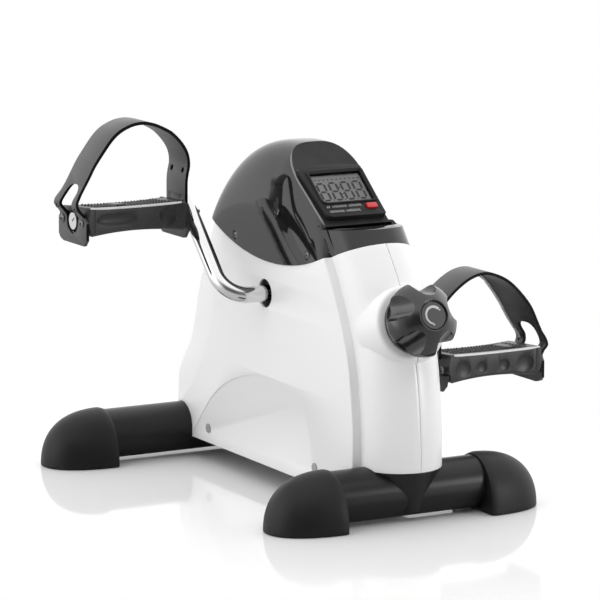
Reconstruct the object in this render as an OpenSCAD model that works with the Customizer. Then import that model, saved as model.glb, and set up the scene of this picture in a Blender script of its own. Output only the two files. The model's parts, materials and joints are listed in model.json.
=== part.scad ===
// Pedal exerciser: a small desk bike for the feet or the hands. Two tube stabilisers carry
// a moulded body; a bent crank rod turns in the steel frame inside it against a felt-lined
// brake band that the front knob tightens.
// Millimetres. +X is the sitter's right, -Y faces the sitter (knob and display), +Z is up.
// The origin lies on the floor, under the middle of the whole part.

/* [Stabilisers] */
// Distance between the two stabiliser tubes
tube_gap = 362; // [340:1:390]
// Outer diameter of a stabiliser tube
tube_d = 50; // [46:1:52]
// Wall of a stabiliser tube
tube_wall = 1.5; // [1.2:0.1:2.5]
// Height of the tube axis over the floor
tube_rise = 27; // [26.5:0.5:29]
// Bare half length of the front tube, up to its caps
front_reach = 78; // [70:1:95]
// Bare half length of the rear tube, up to its caps
rear_reach = 137; // [110:1:150]
// Length of an end cap
cap_len = 66; // [55:1:75]
// Width of an end cap at the floor
cap_wide = 77; // [74:1:84]
// Height of an end cap
cap_high = 59; // [58:0.5:64]
// Depth that a tube goes into its cap
cap_seat = 24; // [18:1:30]

/* [Body shells] */
// Half width of the body over its side panels
side_half = 49; // [47:0.5:51]
// Half width of the rounded front column
column_half = 40; // [37:0.5:42]
// Wall of the moulded shells and the cover
wall = 2.5; // [2:0.1:3.2]
// Gap at a parting line
part_gap = 0.3; // [0.2:0.05:0.5]
// Height of the body's lower edge over the floor
skirt_z = 20; // [14:0.5:22]
// Diameter of the hole that the crank comes out of
crank_hole_d = 28; // [24:0.5:32]
// Diameter of the screw plugs low on the sides
plug_d = 9; // [7:0.5:11]

/* [Top cover] */
// Height of the top of the cover
dome_top = 335.5; // [328:0.5:342]
// Radius of the curved parting line between shells and cover
parting_r = 294; // [285:1:305]
// Lowest height of that parting line
parting_z = 223; // [220:0.5:226]
// Slope of the display face from level
face_slope = 38.7; // [36:0.1:41]

/* [Display] */
// Width of the display housing
display_w = 66; // [62:0.5:70]
// Length of the display housing along the slope
display_l = 62; // [60:0.5:66]
// Height of the display housing over the face
display_proud = 6; // [5:0.25:8]
// Width of the display window
window_w = 54; // [50:0.5:56]
// Length of the display window along the slope
window_l = 35; // [32:0.5:37]
// Width of the reset button
button_w = 11; // [9:0.5:12]
// Travel of the reset button
button_travel = 1; // [0.8:0.1:1.5]

/* [Crank and pedals] */
// Height of the crank axis over the floor
axle_z = 191; // [188:1:196]
// Diameter of the bent crank rod
rod_d = 16; // [14:0.5:18]
// Throw of the crank, from its axis to a pedal spindle
crank_throw = 104; // [98:1:108]
// Half distance between the planes of the two crank arms
arm_plane = 86; // [84:0.5:88]
// How far the crank sits to the left of the body's middle
crank_left = 6.5; // [0:0.5:7]
// Angle of the left arm over level, pointing to the rear
crank_angle = 45; // [0:5:90]
// Length of a pedal block along its spindle
pedal_len = 105; // [100:1:110]
// Depth of a pedal block, front to rear
pedal_deep = 65; // [60:1:70]
// Height of a pedal block at its ends
pedal_high = 29; // [27:0.5:31]
// Diameter of a pedal spindle
spindle_d = 10; // [9:0.5:12]
// Slope of a pedal's tread, down to the rear
tread_slope = 4; // [0:0.5:5]
// Height of the foot strap's crown over the spindle
strap_high = 92.5; // [86:0.5:98]
// Width of the foot strap
strap_w = 40; // [34:1:44]
// Thickness of the foot strap
strap_t = 3; // [2.5:0.1:4]

/* [Brake] */
// Diameter of the brake drum
drum_d = 96; // [88:1:100]
// Width of the brake drum
drum_w = 22; // [18:1:24]
// Thickness of the felt lining
felt_t = 2.5; // [2:0.25:3]
// Diameter of the tension knob over its lobes
knob_d = 69; // [62:0.5:72]
// Number of finger scoops on the knob
knob_scoops = 5; // [4:1:8]
// Tilt of the knob's axis over level
knob_tilt = 19.4; // [15:0.1:22]
// Travel of the tension nut along its bolt
nut_travel = 7.5; // [5:0.5:9]

/* [Fits] */
// Radial clearance of a shaft in its bush
run_gap = 0.05; // [0.02:0.01:0.1]
// Radial clearance of a piece seated in a hole
seat_gap = 0.02; // [0.01:0.01:0.05]
// Clearance between pieces that move past each other
free_gap = 0.4; // [0.3:0.05:0.6]

/* [Hidden] */
$fn = 64;
tiny = 0.01;
// Longer than the whole part, for cuts that go right through
big = 600;

// Colours of the finishes
white_plastic = [0.92, 0.92, 0.93];
black_plastic = [0.13, 0.13, 0.14];
black_rubber = [0.1, 0.1, 0.1];
gloss_black = [0.22, 0.22, 0.23];
chrome = [0.82, 0.83, 0.85];
steel = [0.6, 0.61, 0.63];
grey_plastic = [0.62, 0.62, 0.63];

// Places worked out from the sizes above, measured from the middle of the base
front_y = -tube_gap / 2;
rear_y = tube_gap / 2;
tube_r = tube_d / 2;
tube_top = tube_rise + tube_r;
knob_root_y = -186;
knob_drop = 7;
knob_root_z = axle_z - knob_drop;
knob_from = 13;
knob_len = 42;
knob_tip_y = knob_root_y - (knob_from + knob_len + 2) * cos(knob_tilt)
    - sin(knob_tilt) * 13;
// The knob stands further forward than the rear caps stand back
mid_y = -(knob_tip_y + rear_y + cap_wide / 2) / 2;

// The pedals reach as far to either side of the crank's middle
mid_x = crank_left;

// Moves a piece from the middle of the base to the middle of the whole part
module placed() translate([mid_x, mid_y, 0]) children();

// Turns a drawing's X and Y into the model's Y and Z, as thick as w about the middle plane
module side_slab(w, at = 0) translate([at - w / 2, 0, 0]) rotate([90, 0, 90])
    linear_extrude(w) children();

function unit(v) = v / norm(v);

// A smooth curve through the points p, with n steps between neighbours
function smooth(p, n) = [
    for (i = [0 : len(p) - 2]) for (k = [0 : n - 1]) let (
        t = k / n,
        a = p[max(0, i - 1)],
        b = p[i],
        c = p[i + 1],
        d = p[min(len(p) - 1, i + 2)],
        bend = 2 * a - 5 * b + 4 * c - d,
        twist = 3 * b - a - 3 * c + d)
        (2 * b + (c - a) * t + bend * t * t + twist * t * t * t) / 2,
    p[len(p) - 1]];

// A cylinder along X, from x0 to x1
module rod_x(d, x0, x1, y = 0, z = 0) translate([x0, y, z]) rotate([0, 90, 0])
    cylinder(d = d, h = x1 - x0);

// ---------------------------------------------------------------- stabilisers

module stabiliser(y, reach) {
    end = reach + cap_seat;
    difference() {
        rod_x(tube_d, -end, end, y, tube_rise);
        rod_x(tube_d - 2 * tube_wall, -end - 1, end + 1, y, tube_rise);
        bolt_holes(y);
        // Way in for the bolt heads, from below
        for (x = [-1, 1]) translate([x * bolt_x, y, 0]) cylinder(d = bolt_head_d + 2, h = tube_rise);
    }
}

module end_cap(y, reach, side) {
    mirror([side < 0 ? 1 : 0, 0, 0]) difference() {
        translate([reach, y, 0]) scale([cap_len, cap_wide / 2, cap_high]) sphere(r = 1, $fn = 96);
        translate([reach - big / 2, y, 0]) cube(big, center = true);
        translate([0, y, -big / 2]) cube(big, center = true);
        rod_x(tube_d + 2 * seat_gap, reach - 1, reach + cap_seat + part_gap, y, tube_rise);
    }
}

// Bolts that hold a tube under its saddle on the frame
bolt_x = 12;
bolt_d = 8;
bolt_head_d = 13;
bolt_head_h = 5;
nut_h = 6;

module bolt_holes(y) for (x = [-1, 1]) translate([x * bolt_x, y, tube_rise])
    cylinder(d = bolt_d + 2 * free_gap, h = 60);

module saddle_bolts(y) for (x = [-1, 1]) translate([x * bolt_x, y, 0]) {
    top = tube_top - tube_wall - bolt_drop;
    translate([0, 0, top - bolt_head_h]) cylinder(d = bolt_head_d, h = bolt_head_h);
    translate([0, 0, top - tiny]) cylinder(d = bolt_d, h = saddle_t + tube_wall + bolt_drop + nut_h + 4);
    translate([0, 0, tube_top + saddle_t + tiny * 5]) cylinder(d = bolt_head_d, h = nut_h, $fn = 6);
}
// The head is flat and the tube is round, so its rim meets the wall lower down
bolt_drop = tube_r - tube_wall - sqrt(pow(tube_r - tube_wall, 2) - pow(bolt_head_d / 2, 2)) + 0.05;
saddle_t = 4;

module front_tube() color(black_plastic) placed() stabiliser(front_y, front_reach);
module rear_tube() color(black_plastic) placed() stabiliser(rear_y, rear_reach);
module front_left_cap() color(black_rubber) placed() end_cap(front_y, front_reach, -1);
module front_right_cap() color(black_rubber) placed() end_cap(front_y, front_reach, 1);
module rear_left_cap() color(black_rubber) placed() end_cap(rear_y, rear_reach, -1);
module rear_right_cap() color(black_rubber) placed() end_cap(rear_y, rear_reach, 1);
module front_bolts() color(steel) placed() saddle_bolts(front_y);
module rear_bolts() color(steel) placed() saddle_bolts(rear_y);

// ---------------------------------------------------------------- body shells

// Front line of the column at the middle, as heights and distances
column_z = [49.5, 75, 117, 153, 186, 219, 240, 266];
column_y = [-216, -216, -212, -205, -192, -177, -162.5, -142];
function column_front(z) = lookup(z, [for (i = [0 : len(column_z) - 1]) [column_z[i], column_y[i]]]);
// Front edge of the side panels
panel_z = [skirt_z, 52, 81, 111, 150, 181, 218, 241, 264];
panel_y = [-171, -172.5, -173, -170, -163, -151, -132, -117, -98];
// Rear line of the body, which leans forward as it rises
rear_z = [skirt_z, 116, 168, 197, 246, 264];
rear_back = [200, 174, 159, 147, 122, 112];
function rear_line(z) = lookup(z, [for (i = [0 : len(rear_z) - 1]) [rear_z[i], rear_back[i]]]);
crease_back = 90;
corner_back = 44;
rear_round = 10;
rear_inset = 3;
// Shoulder that stands out over the rear tube, from its lower edge up
shoulder_z = [tube_rise, 50, 81, 97, 116];
shoulder_back = [204, 204, 202, 193, 175];

// Black neck between the column and the front tube, narrowing down the tube's front
neck_top = column_z[0] - part_gap;
neck_low = 9;

module front_neck() color(black_plastic) placed() difference() {
    hull() {
        translate([0, column_front(neck_top) + column_half, neck_top - 2])
            cylinder(r = column_half - 2, h = 2, $fn = 48);
        translate([0, front_y - tube_r + 10, neck_low]) cylinder(r = 8, h = 1, $fn = 32);
    }
    rod_x(tube_d + 2 * part_gap, -big / 2, big / 2, front_y, tube_rise);
    saddle_block(front_y, part_gap);
    translate([0, front_y + big / 2, 0]) cube([big, big, big], center = true);
}

// One level slice of the side panels and the rear, drawn in by t
module panel_slice(z, y, t) translate([0, 0, z]) for (s = [-1, 1]) {
    translate([s * (side_half - 4), y + 4 + t, 0]) cylinder(r = 4 - t, h = tiny, $fn = 16);
    translate([s * (side_half - 3), rear_line(z) - crease_back, 0]) cylinder(r = 3 - t, h = tiny, $fn = 16);
    translate([s * (side_half - 4.2), rear_line(z) - corner_back, 0]) cylinder(r = 3 - t, h = tiny, $fn = 16);
    rear_corner(s, rear_line(z), t);
}

module rear_corner(s, y, t) translate([s * (side_half - rear_inset - rear_round), y - rear_round, 0])
    cylinder(r = rear_round - t, h = tiny, $fn = 24);

module panel_block(t) hull() {
    for (i = [0 : len(panel_z) - 1]) panel_slice(panel_z[i], panel_y[i], t);
    for (z = [116, 168, 197]) translate([0, 0, z]) for (s = [-1, 1]) rear_corner(s, rear_line(z), t);
}

module shoulder_block(t) hull() for (i = [0 : len(shoulder_z) - 1]) translate([0, 0, shoulder_z[i]])
    for (s = [-1, 1]) {
        rear_corner(s, shoulder_back[i], t);
        rear_corner(s, shoulder_back[i] - 60, t);
    }

module column_block(t) hull() for (i = [0 : len(column_z) - 1]) translate([0, column_y[i], column_z[i]]) {
    translate([0, column_half, 0]) cylinder(r = column_half - t, h = tiny, $fn = 48);
    translate([0, 100, 0]) cube([2 * (column_half - t), 10, tiny], center = true);
}

module body_block(t) {
    panel_block(t);
    shoulder_block(t);
    column_block(t);
}

// Everything over the parting line, g clear of it
module over_parting(g) rod_x(2 * (parting_r + g), -big / 2, big / 2, parting_y, parting_z + parting_r);
parting_y = -12;

// Collar behind the knob, a round boss that flows out of the column
collar_r = 36;
collar_len = 12;
module at_knob() translate([0, knob_root_y, knob_root_z]) rotate([90 - knob_tilt, 0, 0]) children();
module collar_boss() at_knob() rotate_extrude($fn = 96) difference() {
    translate([0, -24]) square([collar_r + 9, 24 + collar_len]);
    translate([collar_r + 10, collar_len + 2]) circle(r = 11, $fn = 64);
}
collar_deep = 40;
collar_thick = 6;
module collar_hollow() at_knob() translate([0, 0, -collar_deep])
    cylinder(r = collar_r - collar_thick, h = collar_deep + collar_len - wall - 1);

plug_y = [-99, 121];
plug_z = [37, 35];
boss_d = 14;

// Bosses that the shells' screws draw against the spine
module shell_bosses() for (i = [0, 1]) for (s = [0, 1]) mirror([s, 0, 0])
    rod_x(boss_d, spine_w / 2 + part_gap, side_half - 1, plug_y[i], plug_z[i]);

// The right half; the left one is its mirror image
module shell_half() difference() {
    union() {
        difference() {
            union() {
                body_block(0);
                collar_boss();
            }
            difference() {
                body_block(wall);
                shell_bosses();
            }
            collar_hollow();
        }
    }
    over_parting(part_gap / 2);
    // Saddles over the two tubes
    for (y = [front_y, rear_y]) rod_x(tube_d + 2 * part_gap, -big / 2, big / 2, y, tube_rise);
    // Open underside
    translate([0, 0, skirt_z - big / 2]) cube([big, big, big], center = true);
    translate([0, (front_y + rear_y) / 2, 0])
        cube([2 * (side_half - wall), tube_gap - tube_d - 4, 2 * skirt_z + 6], center = true);
    // Crank holes
    rod_x(crank_hole_d, -big / 2, big / 2, 0, axle_z);
    // Plug seats and screw holes
    for (i = [0, 1]) {
        rod_x(plug_d + 2 * seat_gap, -side_half - 1, -side_half + plug_t, plug_y[i], plug_z[i]);
        rod_x(plug_d + 2 * seat_gap, side_half - plug_t, side_half + 1, plug_y[i], plug_z[i]);
        rod_x(screw_d + 2 * seat_gap, -side_half + 1, side_half - 1, plug_y[i], plug_z[i]);
    }
    // Seat of the knob's bush
    at_knob() cylinder(d = bush_d + 2 * seat_gap, h = 2 * collar_deep, center = true);
    // The other half
    translate([-(big / 2 - part_gap / 2), 0, 0]) cube([big, 2 * big, 2 * big], center = true);
}
screw_d = 4;
plug_t = 5;
bush_d = 14;
spine_w = 33;

module left_shell() color(white_plastic) placed() mirror([1, 0, 0]) shell_half();
module right_shell() color(white_plastic) placed() shell_half();

module shell_screws() color(steel) placed() for (i = [0, 1]) for (s = [0, 1]) mirror([s, 0, 0])
    rod_x(screw_d, spine_w / 2 - 5, side_half - plug_t - 0.1, plug_y[i], plug_z[i]);

module side_plugs(side) mirror([side < 0 ? 1 : 0, 0, 0]) for (i = [0, 1])
    rod_x(plug_d, side_half - plug_t, side_half + 0.4, plug_y[i], plug_z[i]);
module left_plugs() color(grey_plastic) placed() side_plugs(-1);
module right_plugs() color(grey_plastic) placed() side_plugs(1);

// ---------------------------------------------------------------- top cover

dome_z = 229.9;
dome_y = 2.8;
dome_half_len = 116;
dome_over = 0.9;
dome_half_w = side_half + dome_over;
dome_round_y = 2.21;
dome_round_x = 3.14;
dome_steps_y = 24;
dome_steps_x = 20;
// Runs from -1 to 1 with closer steps near the ends
function close_ends(i, n) = sin(-90 + 180 * i / n);
function dome_height(x, y, t) = let (
    a = dome_half_len - t,
    w = dome_half_w - t,
    fy = pow(max(0, 1 - pow(abs(y - dome_y) / a, dome_round_y)), 1 / dome_round_y),
    fx = pow(max(0, 1 - pow(abs(x) / w, dome_round_x)), 1 / dome_round_x))
    dome_z + (dome_top - t - dome_z) * fy * fx;

// Crowned block over the base height, drawn in by t
module dome_block(t) {
    ny = dome_steps_y;
    nx = dome_steps_x;
    low = parting_z - 8;
    points = [
        for (j = [0 : ny]) for (i = [0 : nx]) let (
            x = (dome_half_w - t) * close_ends(i, nx),
            y = dome_y + (dome_half_len - t) * close_ends(j, ny))
            [x, y, dome_height(x, y, t)],
        for (j = [0, ny]) for (i = [0, nx])
            [(dome_half_w - t) * sign(i - 1), dome_y + (dome_half_len - t) * sign(j - 1), low]
    ];
    at = (ny + 1) * (nx + 1);
    faces = [
        for (j = [0 : ny - 1]) for (i = [0 : nx - 1])
            let (k = j * (nx + 1) + i) [k, k + nx + 1, k + 1],
        for (j = [0 : ny - 1]) for (i = [0 : nx - 1])
            let (k = j * (nx + 1) + i) [k + 1, k + nx + 1, k + nx + 2],
        [at, at + 1, at + 3, at + 2],
        concat([at + 1, at], [for (i = [0 : nx]) i]),
        concat([at + 2, at + 3], [for (i = [nx : -1 : 0]) ny * (nx + 1) + i]),
        concat([at, at + 2], [for (j = [ny : -1 : 0]) j * (nx + 1)]),
        concat([at + 3, at + 1], [for (j = [0 : ny]) j * (nx + 1) + nx])
    ];
    polyhedron(points = points, faces = faces);
}

lip_y = -98;
lip_z = 267;
// The ledge in front of the lip lies a little lower
ledge_drop = 1;
module at_face() translate([0, lip_y, lip_z]) rotate([face_slope, 0, 0]) children();
// The display sits a little to the left of the middle
module at_display() at_face() translate([-2, 0, 0]) children();

// Everything in front of the display face and over its ledge, drawn in by t
module face_cut(t) {
    at_face() translate([-big / 2, -tiny, -t]) cube(big);
    translate([-big / 2, lip_y + t - big, lip_z - ledge_drop - t]) cube(big);
}

module top_cover() color(gloss_black) placed() difference() {
    intersection() {
        union() {
            dome_block(0);
            column_block(0);
        }
        over_parting(-part_gap / 2);
    }
    difference() {
        union() {
            dome_block(wall);
            column_block(wall);
        }
        face_cut(wall);
    }
    face_cut(0);
    at_display() translate([-display_w / 2 - part_gap, display_low - part_gap, -30])
        cube([display_w + 2 * part_gap, display_l + 2 * part_gap, 60]);
    cover_screw_holes();
}

cover_screw_y = [60, -85];
cover_screw_z = [240, 240];
cover_screw_d = 7;
cover_screw_len = 6;
module cover_screw_holes() for (i = [0, 1])
    rod_x(cover_screw_d / 2 + 2 * seat_gap, -big / 2, big / 2, cover_screw_y[i], cover_screw_z[i]);
module cover_screws() color(steel) placed() for (i = [0, 1]) for (s = [0, 1]) mirror([s, 0, 0]) {
    rod_x(cover_screw_d / 2, side_half - cover_screw_len, side_half + 1, cover_screw_y[i], cover_screw_z[i]);
    rod_x(cover_screw_d, dome_half_w + 0.05, dome_half_w + 1, cover_screw_y[i], cover_screw_z[i]);
}

// ---------------------------------------------------------------- display

display_low = 5.5;
display_deep = 18;
display_wall = 2;
inside_top = display_proud - display_wall;
window_low = 26;
button_l = 6;
button_x = 17;
button_at = 15.5;
lens_t = 1.5;

module display_housing() color(black_plastic) placed() at_display() difference() {
    translate([-display_w / 2, display_low, -display_deep])
        cube([display_w, display_l, display_deep + display_proud]);
    translate([-display_w / 2 + display_wall, display_low + display_wall, -display_deep - 1])
        cube([display_w - 2 * display_wall, display_l - 2 * display_wall, display_deep + inside_top + 1]);
    // Window
    translate([-window_w / 2, window_low, 0]) cube([window_w, window_l, 20]);
    // Button slot
    translate([button_x - button_w / 2 - free_gap, button_at - button_l / 2 - free_gap, 0])
        cube([button_w + 2 * free_gap, button_l + 2 * free_gap, 20]);
}

lens_rim = 2;
module display_lens() color([0.7, 0.75, 0.75, 0.5]) placed() at_display()
    translate([-window_w / 2 - lens_rim, window_low - lens_rim, inside_top - lens_t - tiny * 2])
        cube([window_w + 2 * lens_rim, window_l + 2 * lens_rim, lens_t]);

lcd_t = 2.6;
module lcd_panel() color([0.45, 0.47, 0.46]) placed() at_display()
    translate([-window_w / 2 - lens_rim, window_low - lens_rim, inside_top - lens_t - lcd_t - 0.2])
        cube([window_w + 2 * lens_rim, window_l + 2 * lens_rim, lcd_t]);

board_t = 1.6;
board_top = inside_top - lens_t - lcd_t - 0.3;
module circuit_board() color([0.1, 0.35, 0.2]) placed() at_display() {
    translate([-display_w / 2 + display_wall + 0.1, display_low + display_wall + 0.1, board_top - board_t])
        cube([display_w - 2 * display_wall - 0.2, display_l - 2 * display_wall - 0.2, board_t]);
    // Switch under the button
    translate([button_x - 3, button_at - 2.5, board_top - tiny]) cube([6, 5, switch_h]);
}
switch_h = 2;

battery_d = 10.5;
battery_l = 44;
module battery() color([0.7, 0.6, 0.3]) placed() at_display()
    translate([0, display_low + display_l / 2, board_top - board_t - battery_d / 2 - 0.05])
        rod_x(battery_d, -battery_l / 2, battery_l / 2);

module battery_door() color(black_plastic) placed() at_display()
    translate([-display_w / 2 + display_wall + 0.05, display_low + display_wall + 0.05, -display_deep])
        cube([display_w - 2 * display_wall - 0.1, display_l - 2 * display_wall - 0.1, 2]);

button_foot = 1.2;
module reset_button() color([0.8, 0.12, 0.15]) placed() at_display() {
    base_z = board_top + switch_h + button_travel + 0.1;
    translate([button_x - button_w / 2, button_at - button_l / 2, base_z])
        cube([button_w, button_l, display_proud + button_travel + 0.6 - base_z]);
    // Foot that keeps it under the housing
    translate([button_x - button_w / 2 - button_foot, button_at - button_l / 2 - button_foot, base_z])
        cube([button_w + 2 * button_foot, button_l + 2 * button_foot, inside_top - 0.1 - base_z]);
}

// ---------------------------------------------------------------- steel frame

channel_w = 15;
channel_t = 2;
channel_from = -96;
channel_to = -34;

spine_h = 26;
plate_x = 18;
plate_t = 4;
plate_foot = 70;
bearing_d = 24;
hub_d = 36;
hub_x = 36;

// The saddle before its bore, grown by g
module saddle_block(y, g = 0) translate([0, y, tube_rise]) intersection() {
    rod_x(tube_d + 2 * saddle_t + 2 * g, -spine_w / 2 - 5 - g, spine_w / 2 + 5 + g);
    translate([0, 0, tube_r]) cube([big, 40 + 2 * g, 30 + 2 * g], center = true);
}

module saddle(y) difference() {
    saddle_block(y);
    rod_x(tube_d + tiny, -big / 2, big / 2, y, tube_rise);
    bolt_holes(y);
}

module side_plate_outline() {
    polygon([
        [-plate_foot, skirt_z + 10], [plate_foot, skirt_z + 10], [plate_foot, 52],
        [hub_d / 2, axle_z], [-hub_d / 2, axle_z], [-plate_foot, 52]]);
    translate([0, axle_z]) circle(d = hub_d);
    // Horn that holds the pin of the band
    translate([0, axle_z]) polygon([[-12, -12], [-58, 6], [-64, 28], [-56, 31], [-8, 16]]);
}

// Two arms that stand on the spine and hold the tension bracket between them
arm_t = 3;
arm_half = channel_w / 2 + channel_t + 0.05;
module bracket_arms() for (s = [-1, 1]) side_slab(arm_t, s * (arm_half + arm_t / 2))
    polygon([
        [-112, 48], [-78, 48], [-84, knob_root_z - 54], [-92, knob_root_z - 26],
        [-148, knob_root_z - 6], [-152, knob_root_z - 20], [-122, knob_root_z - 38]]);

module main_frame() color([0.25, 0.25, 0.27]) placed() difference() {
    union() {
        saddle(front_y);
        saddle(rear_y);
        // Spine between the tubes
        translate([-spine_w / 2, front_y + tube_r + 2, skirt_z + 6])
            cube([spine_w, tube_gap - tube_d - 4, spine_h]);
        for (s = [-1, 1]) {
            // Ribs that tie the spine to the saddles
            translate([s * (spine_w / 2 - 2) - 2, front_y + 16, 40]) cube([4, 24, 12]);
            translate([s * (spine_w / 2 - 2) - 2, rear_y - 40, 40]) cube([4, 24, 12]);
            side_slab(plate_t, s * plate_x) side_plate_outline();
            rod_x(hub_d, s > 0 ? plate_x : -hub_x, s > 0 ? hub_x : -plate_x, 0, axle_z);
        }
        bracket_arms();
    }
    for (y = [front_y, rear_y]) {
        rod_x(tube_d + tiny, -big / 2, big / 2, y, tube_rise);
        bolt_holes(y);
        // Room for the nuts
        for (x = [-1, 1]) translate([x * bolt_x, y, tube_top + saddle_t])
            cylinder(d = bolt_head_d + 2, h = 20);
    }
    rod_x(bearing_d + 2 * seat_gap, -hub_x - 1, hub_x + 1, 0, axle_z);
    // Holes of the shells' screws
    for (i = [0, 1]) rod_x(screw_d + 2 * seat_gap, -spine_w, spine_w, plug_y[i], plug_z[i]);
    // Hollow of the spine tube
    translate([-spine_w / 2 + 2, -big / 2, skirt_z + 8]) cube([spine_w - 4, big, spine_h - 4]);
}

module bearing(side) mirror([side < 0 ? 1 : 0, 0, 0]) difference() {
    union() {
        rod_x(bearing_d, plate_x - plate_t / 2, hub_x, 0, axle_z);
        rod_x(bearing_d + 6, hub_x + tiny, hub_x + 2, 0, axle_z);
        rod_x(bearing_d, hub_x - 1, hub_x + 2, 0, axle_z);
    }
    rod_x(rod_d + 2 * run_gap, 0, hub_x + 10, 0, axle_z);
}
module left_bearing() color([0.75, 0.6, 0.35]) placed() bearing(-1);
module right_bearing() color([0.75, 0.6, 0.35]) placed() bearing(1);

// ---------------------------------------------------------------- crank

bend_r = 26;
arm_past = 15;
axle_half = arm_plane - bend_r;

// One half of the crank: axle, bend and arm, with the arm pointing along +Y
module crank_half() {
    rod_x(rod_d, 0, axle_half + tiny);
    translate([axle_half, bend_r, 0]) rotate([0, 0, -90]) rotate_extrude(angle = 90, $fn = 96)
        translate([bend_r, 0]) circle(d = rod_d);
    translate([arm_plane, bend_r - tiny, 0]) rotate([-90, 0, 0])
        cylinder(d = rod_d, h = crank_throw + arm_past - bend_r);
}

module at_axle() translate([0, 0, axle_z]) children();
// Turns a piece drawn with its arm along +Y to where the left or the right arm points
module at_arm(side) at_axle() translate([-crank_left, 0, 0])
    rotate([crank_angle + (side > 0 ? 180 : 0), 0, 0]) mirror([side < 0 ? 1 : 0, 0, 0]) children();

module crank_rod() color(chrome) placed() difference() {
    union() {
        at_arm(-1) crank_half();
        at_arm(1) crank_half();
    }
    for (s = [-1, 1]) at_arm(s)
        rod_x(spindle_d + 2 * seat_gap, arm_plane - rod_d, arm_plane + rod_d, crank_throw);
}

drum_rim = 5;
drum_web = 4;
module brake_drum() color([0.5, 0.5, 0.52]) placed() at_axle() difference() {
    union() {
        difference() {
            rod_x(drum_d, -drum_w / 2, drum_w / 2);
            for (s = [0, 1]) mirror([s, 0, 0]) rod_x(drum_d - 2 * drum_rim, drum_web / 2, drum_w);
        }
        rod_x(rod_d + 12, -drum_w / 2, drum_w / 2);
    }
    rod_x(rod_d + 2 * seat_gap, -drum_w, drum_w);
    // Seat of the magnet
    rod_x(magnet_d + 2 * seat_gap, -drum_web, drum_web, magnet_at);
}
magnet_d = 8;
magnet_at = 34;

module drum_magnet() color(steel) placed() at_axle()
    rod_x(magnet_d, -drum_web / 2, drum_web / 2 + 2, magnet_at);

module axle_rings() color(steel) placed() at_axle() for (s = [0, 1]) mirror([s, 0, 0]) difference() {
    rod_x(rod_d + 8, hub_x + 2 + free_gap, hub_x + 4);
    rod_x(rod_d + 2 * seat_gap, hub_x, hub_x + 5);
}

// ---------------------------------------------------------------- pedals

// Everything on a pedal is drawn about its spindle, with +X outboard. The left one is then
// turned half round, so its front looks along the drawing's +Y and the right one's along -Y
end_t = 3;
arm_room = 7.7;
pedal_in = arm_plane + rod_d / 2 + arm_room;
pedal_mid = pedal_in + end_t + pedal_len / 2;
pedal_rise = 1.3;
pedal_top = pedal_rise + pedal_high / 2;
bush_wall = 2;
bush_l = 16;
collar_d = 18;
head_d = 16.5;
head_t = 2.6;

module at_spindle(side) {
    away = side * crank_throw;
    translate([-crank_left, -away * cos(crank_angle), axle_z - away * sin(crank_angle)])
        rotate([0, 0, side < 0 ? 180 : 0]) children();
}

module spindle(side) color(chrome) placed() at_spindle(side) {
    far = pedal_mid + pedal_len / 2;
    rod_x(spindle_d, arm_plane - rod_d / 2 - free_gap, far + free_gap + tiny);
    rod_x(collar_d, arm_plane + rod_d / 2 + tiny, pedal_in + end_t - free_gap);
    rod_x(head_d, far + free_gap, far + free_gap + head_t);
}
module left_spindle() spindle(-1);
module right_spindle() spindle(1);

// Scoops in the block's faces: [along the spindle, height, half length, half height]
front_scoops = [[18, 3, 21, 6.5], [-31.5, 1.5, 9, 9.5]];
rear_scoops = [[33, 0, 9.5, 9], [11, 0, 6.5, 6.5], [-14, 0, 6.5, 6.5], [-34.5, 0, 9, 9]];
waist = 3.5;
scoop_deep = 2;

function sag_r(half, sag) = (half * half + sag * sag) / (2 * sag);

// The sloping top of a pedal, about its middle
module at_top(side) translate([pedal_mid, -side * pedal_deep / 2, pedal_top])
    rotate([-side * tread_slope, 0, 0]) translate([0, side * pedal_deep / 2, 0]) children();

module pedal_block(side) difference() {
    translate([pedal_mid, 0, pedal_rise]) cube([pedal_len, pedal_deep, pedal_high], center = true);
    at_top(side) translate([0, 0, pedal_high / 2])
        cube([pedal_len + 2, 2 * pedal_deep, pedal_high], center = true);
    // Waisted underside, front and rear
    bow = sag_r(pedal_len / 2, waist);
    translate([pedal_mid, 0, pedal_rise - pedal_high / 2 + waist - bow]) rotate([90, 0, 0])
        cylinder(r = bow, h = 2 * pedal_deep, center = true, $fn = 200);
    for (s = [-1, 1]) translate([pedal_mid, s * (pedal_deep / 2 - waist + bow), 0])
        cylinder(r = bow, h = 2 * pedal_high, center = true, $fn = 200);
    // Seats of the bushes and the way of the spindle
    rod_x(spindle_d + 2 * bush_wall + 2 * seat_gap, pedal_mid - pedal_len, pedal_mid + pedal_len);
    for (d = front_scoops) scoop(d, 1);
    for (d = rear_scoops) scoop(d, -1);
    // Seat of the tread
    at_top(side) cube([tread_len + 0.2, tread_w + 0.2, 2 * tread_t], center = true);
    // Screw holes in both ends
    for (x = [pedal_mid - pedal_len / 2, pedal_mid + pedal_len / 2]) for (s = [-1, 1])
        rod_x(pedal_screw_d + 2 * seat_gap, x - screw_deep, x + screw_deep, s * pedal_screw_y);
}

module scoop(d, s) {
    face = pedal_deep / 2 - waist * (1 - pow(d[0] / (pedal_len / 2), 2));
    ball = sag_r(d[3], scoop_deep);
    translate([pedal_mid + d[0], s * (face + ball - scoop_deep), d[1]])
        scale([d[2] / d[3], 1, 1]) sphere(r = ball, $fn = 64);
}

tread_len = 84;
tread_w = 40;
tread_t = 2.5;
rib_step = 8;
rib_groove = 2;
pedal_screw_d = 4;
pedal_screw_y = 21.5;
pedal_screw_head = 8;
screw_deep = 14;

module tread(side) at_top(side) difference() {
    translate([0, 0, -tread_t / 2]) cube([tread_len, tread_w, tread_t], center = true);
    for (x = [-tread_len / 2 + rib_step : rib_step : tread_len / 2 - rib_step]) translate([x, 0, 0])
        cube([rib_groove, tread_w - 6, 1.6], center = true);
}

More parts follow.
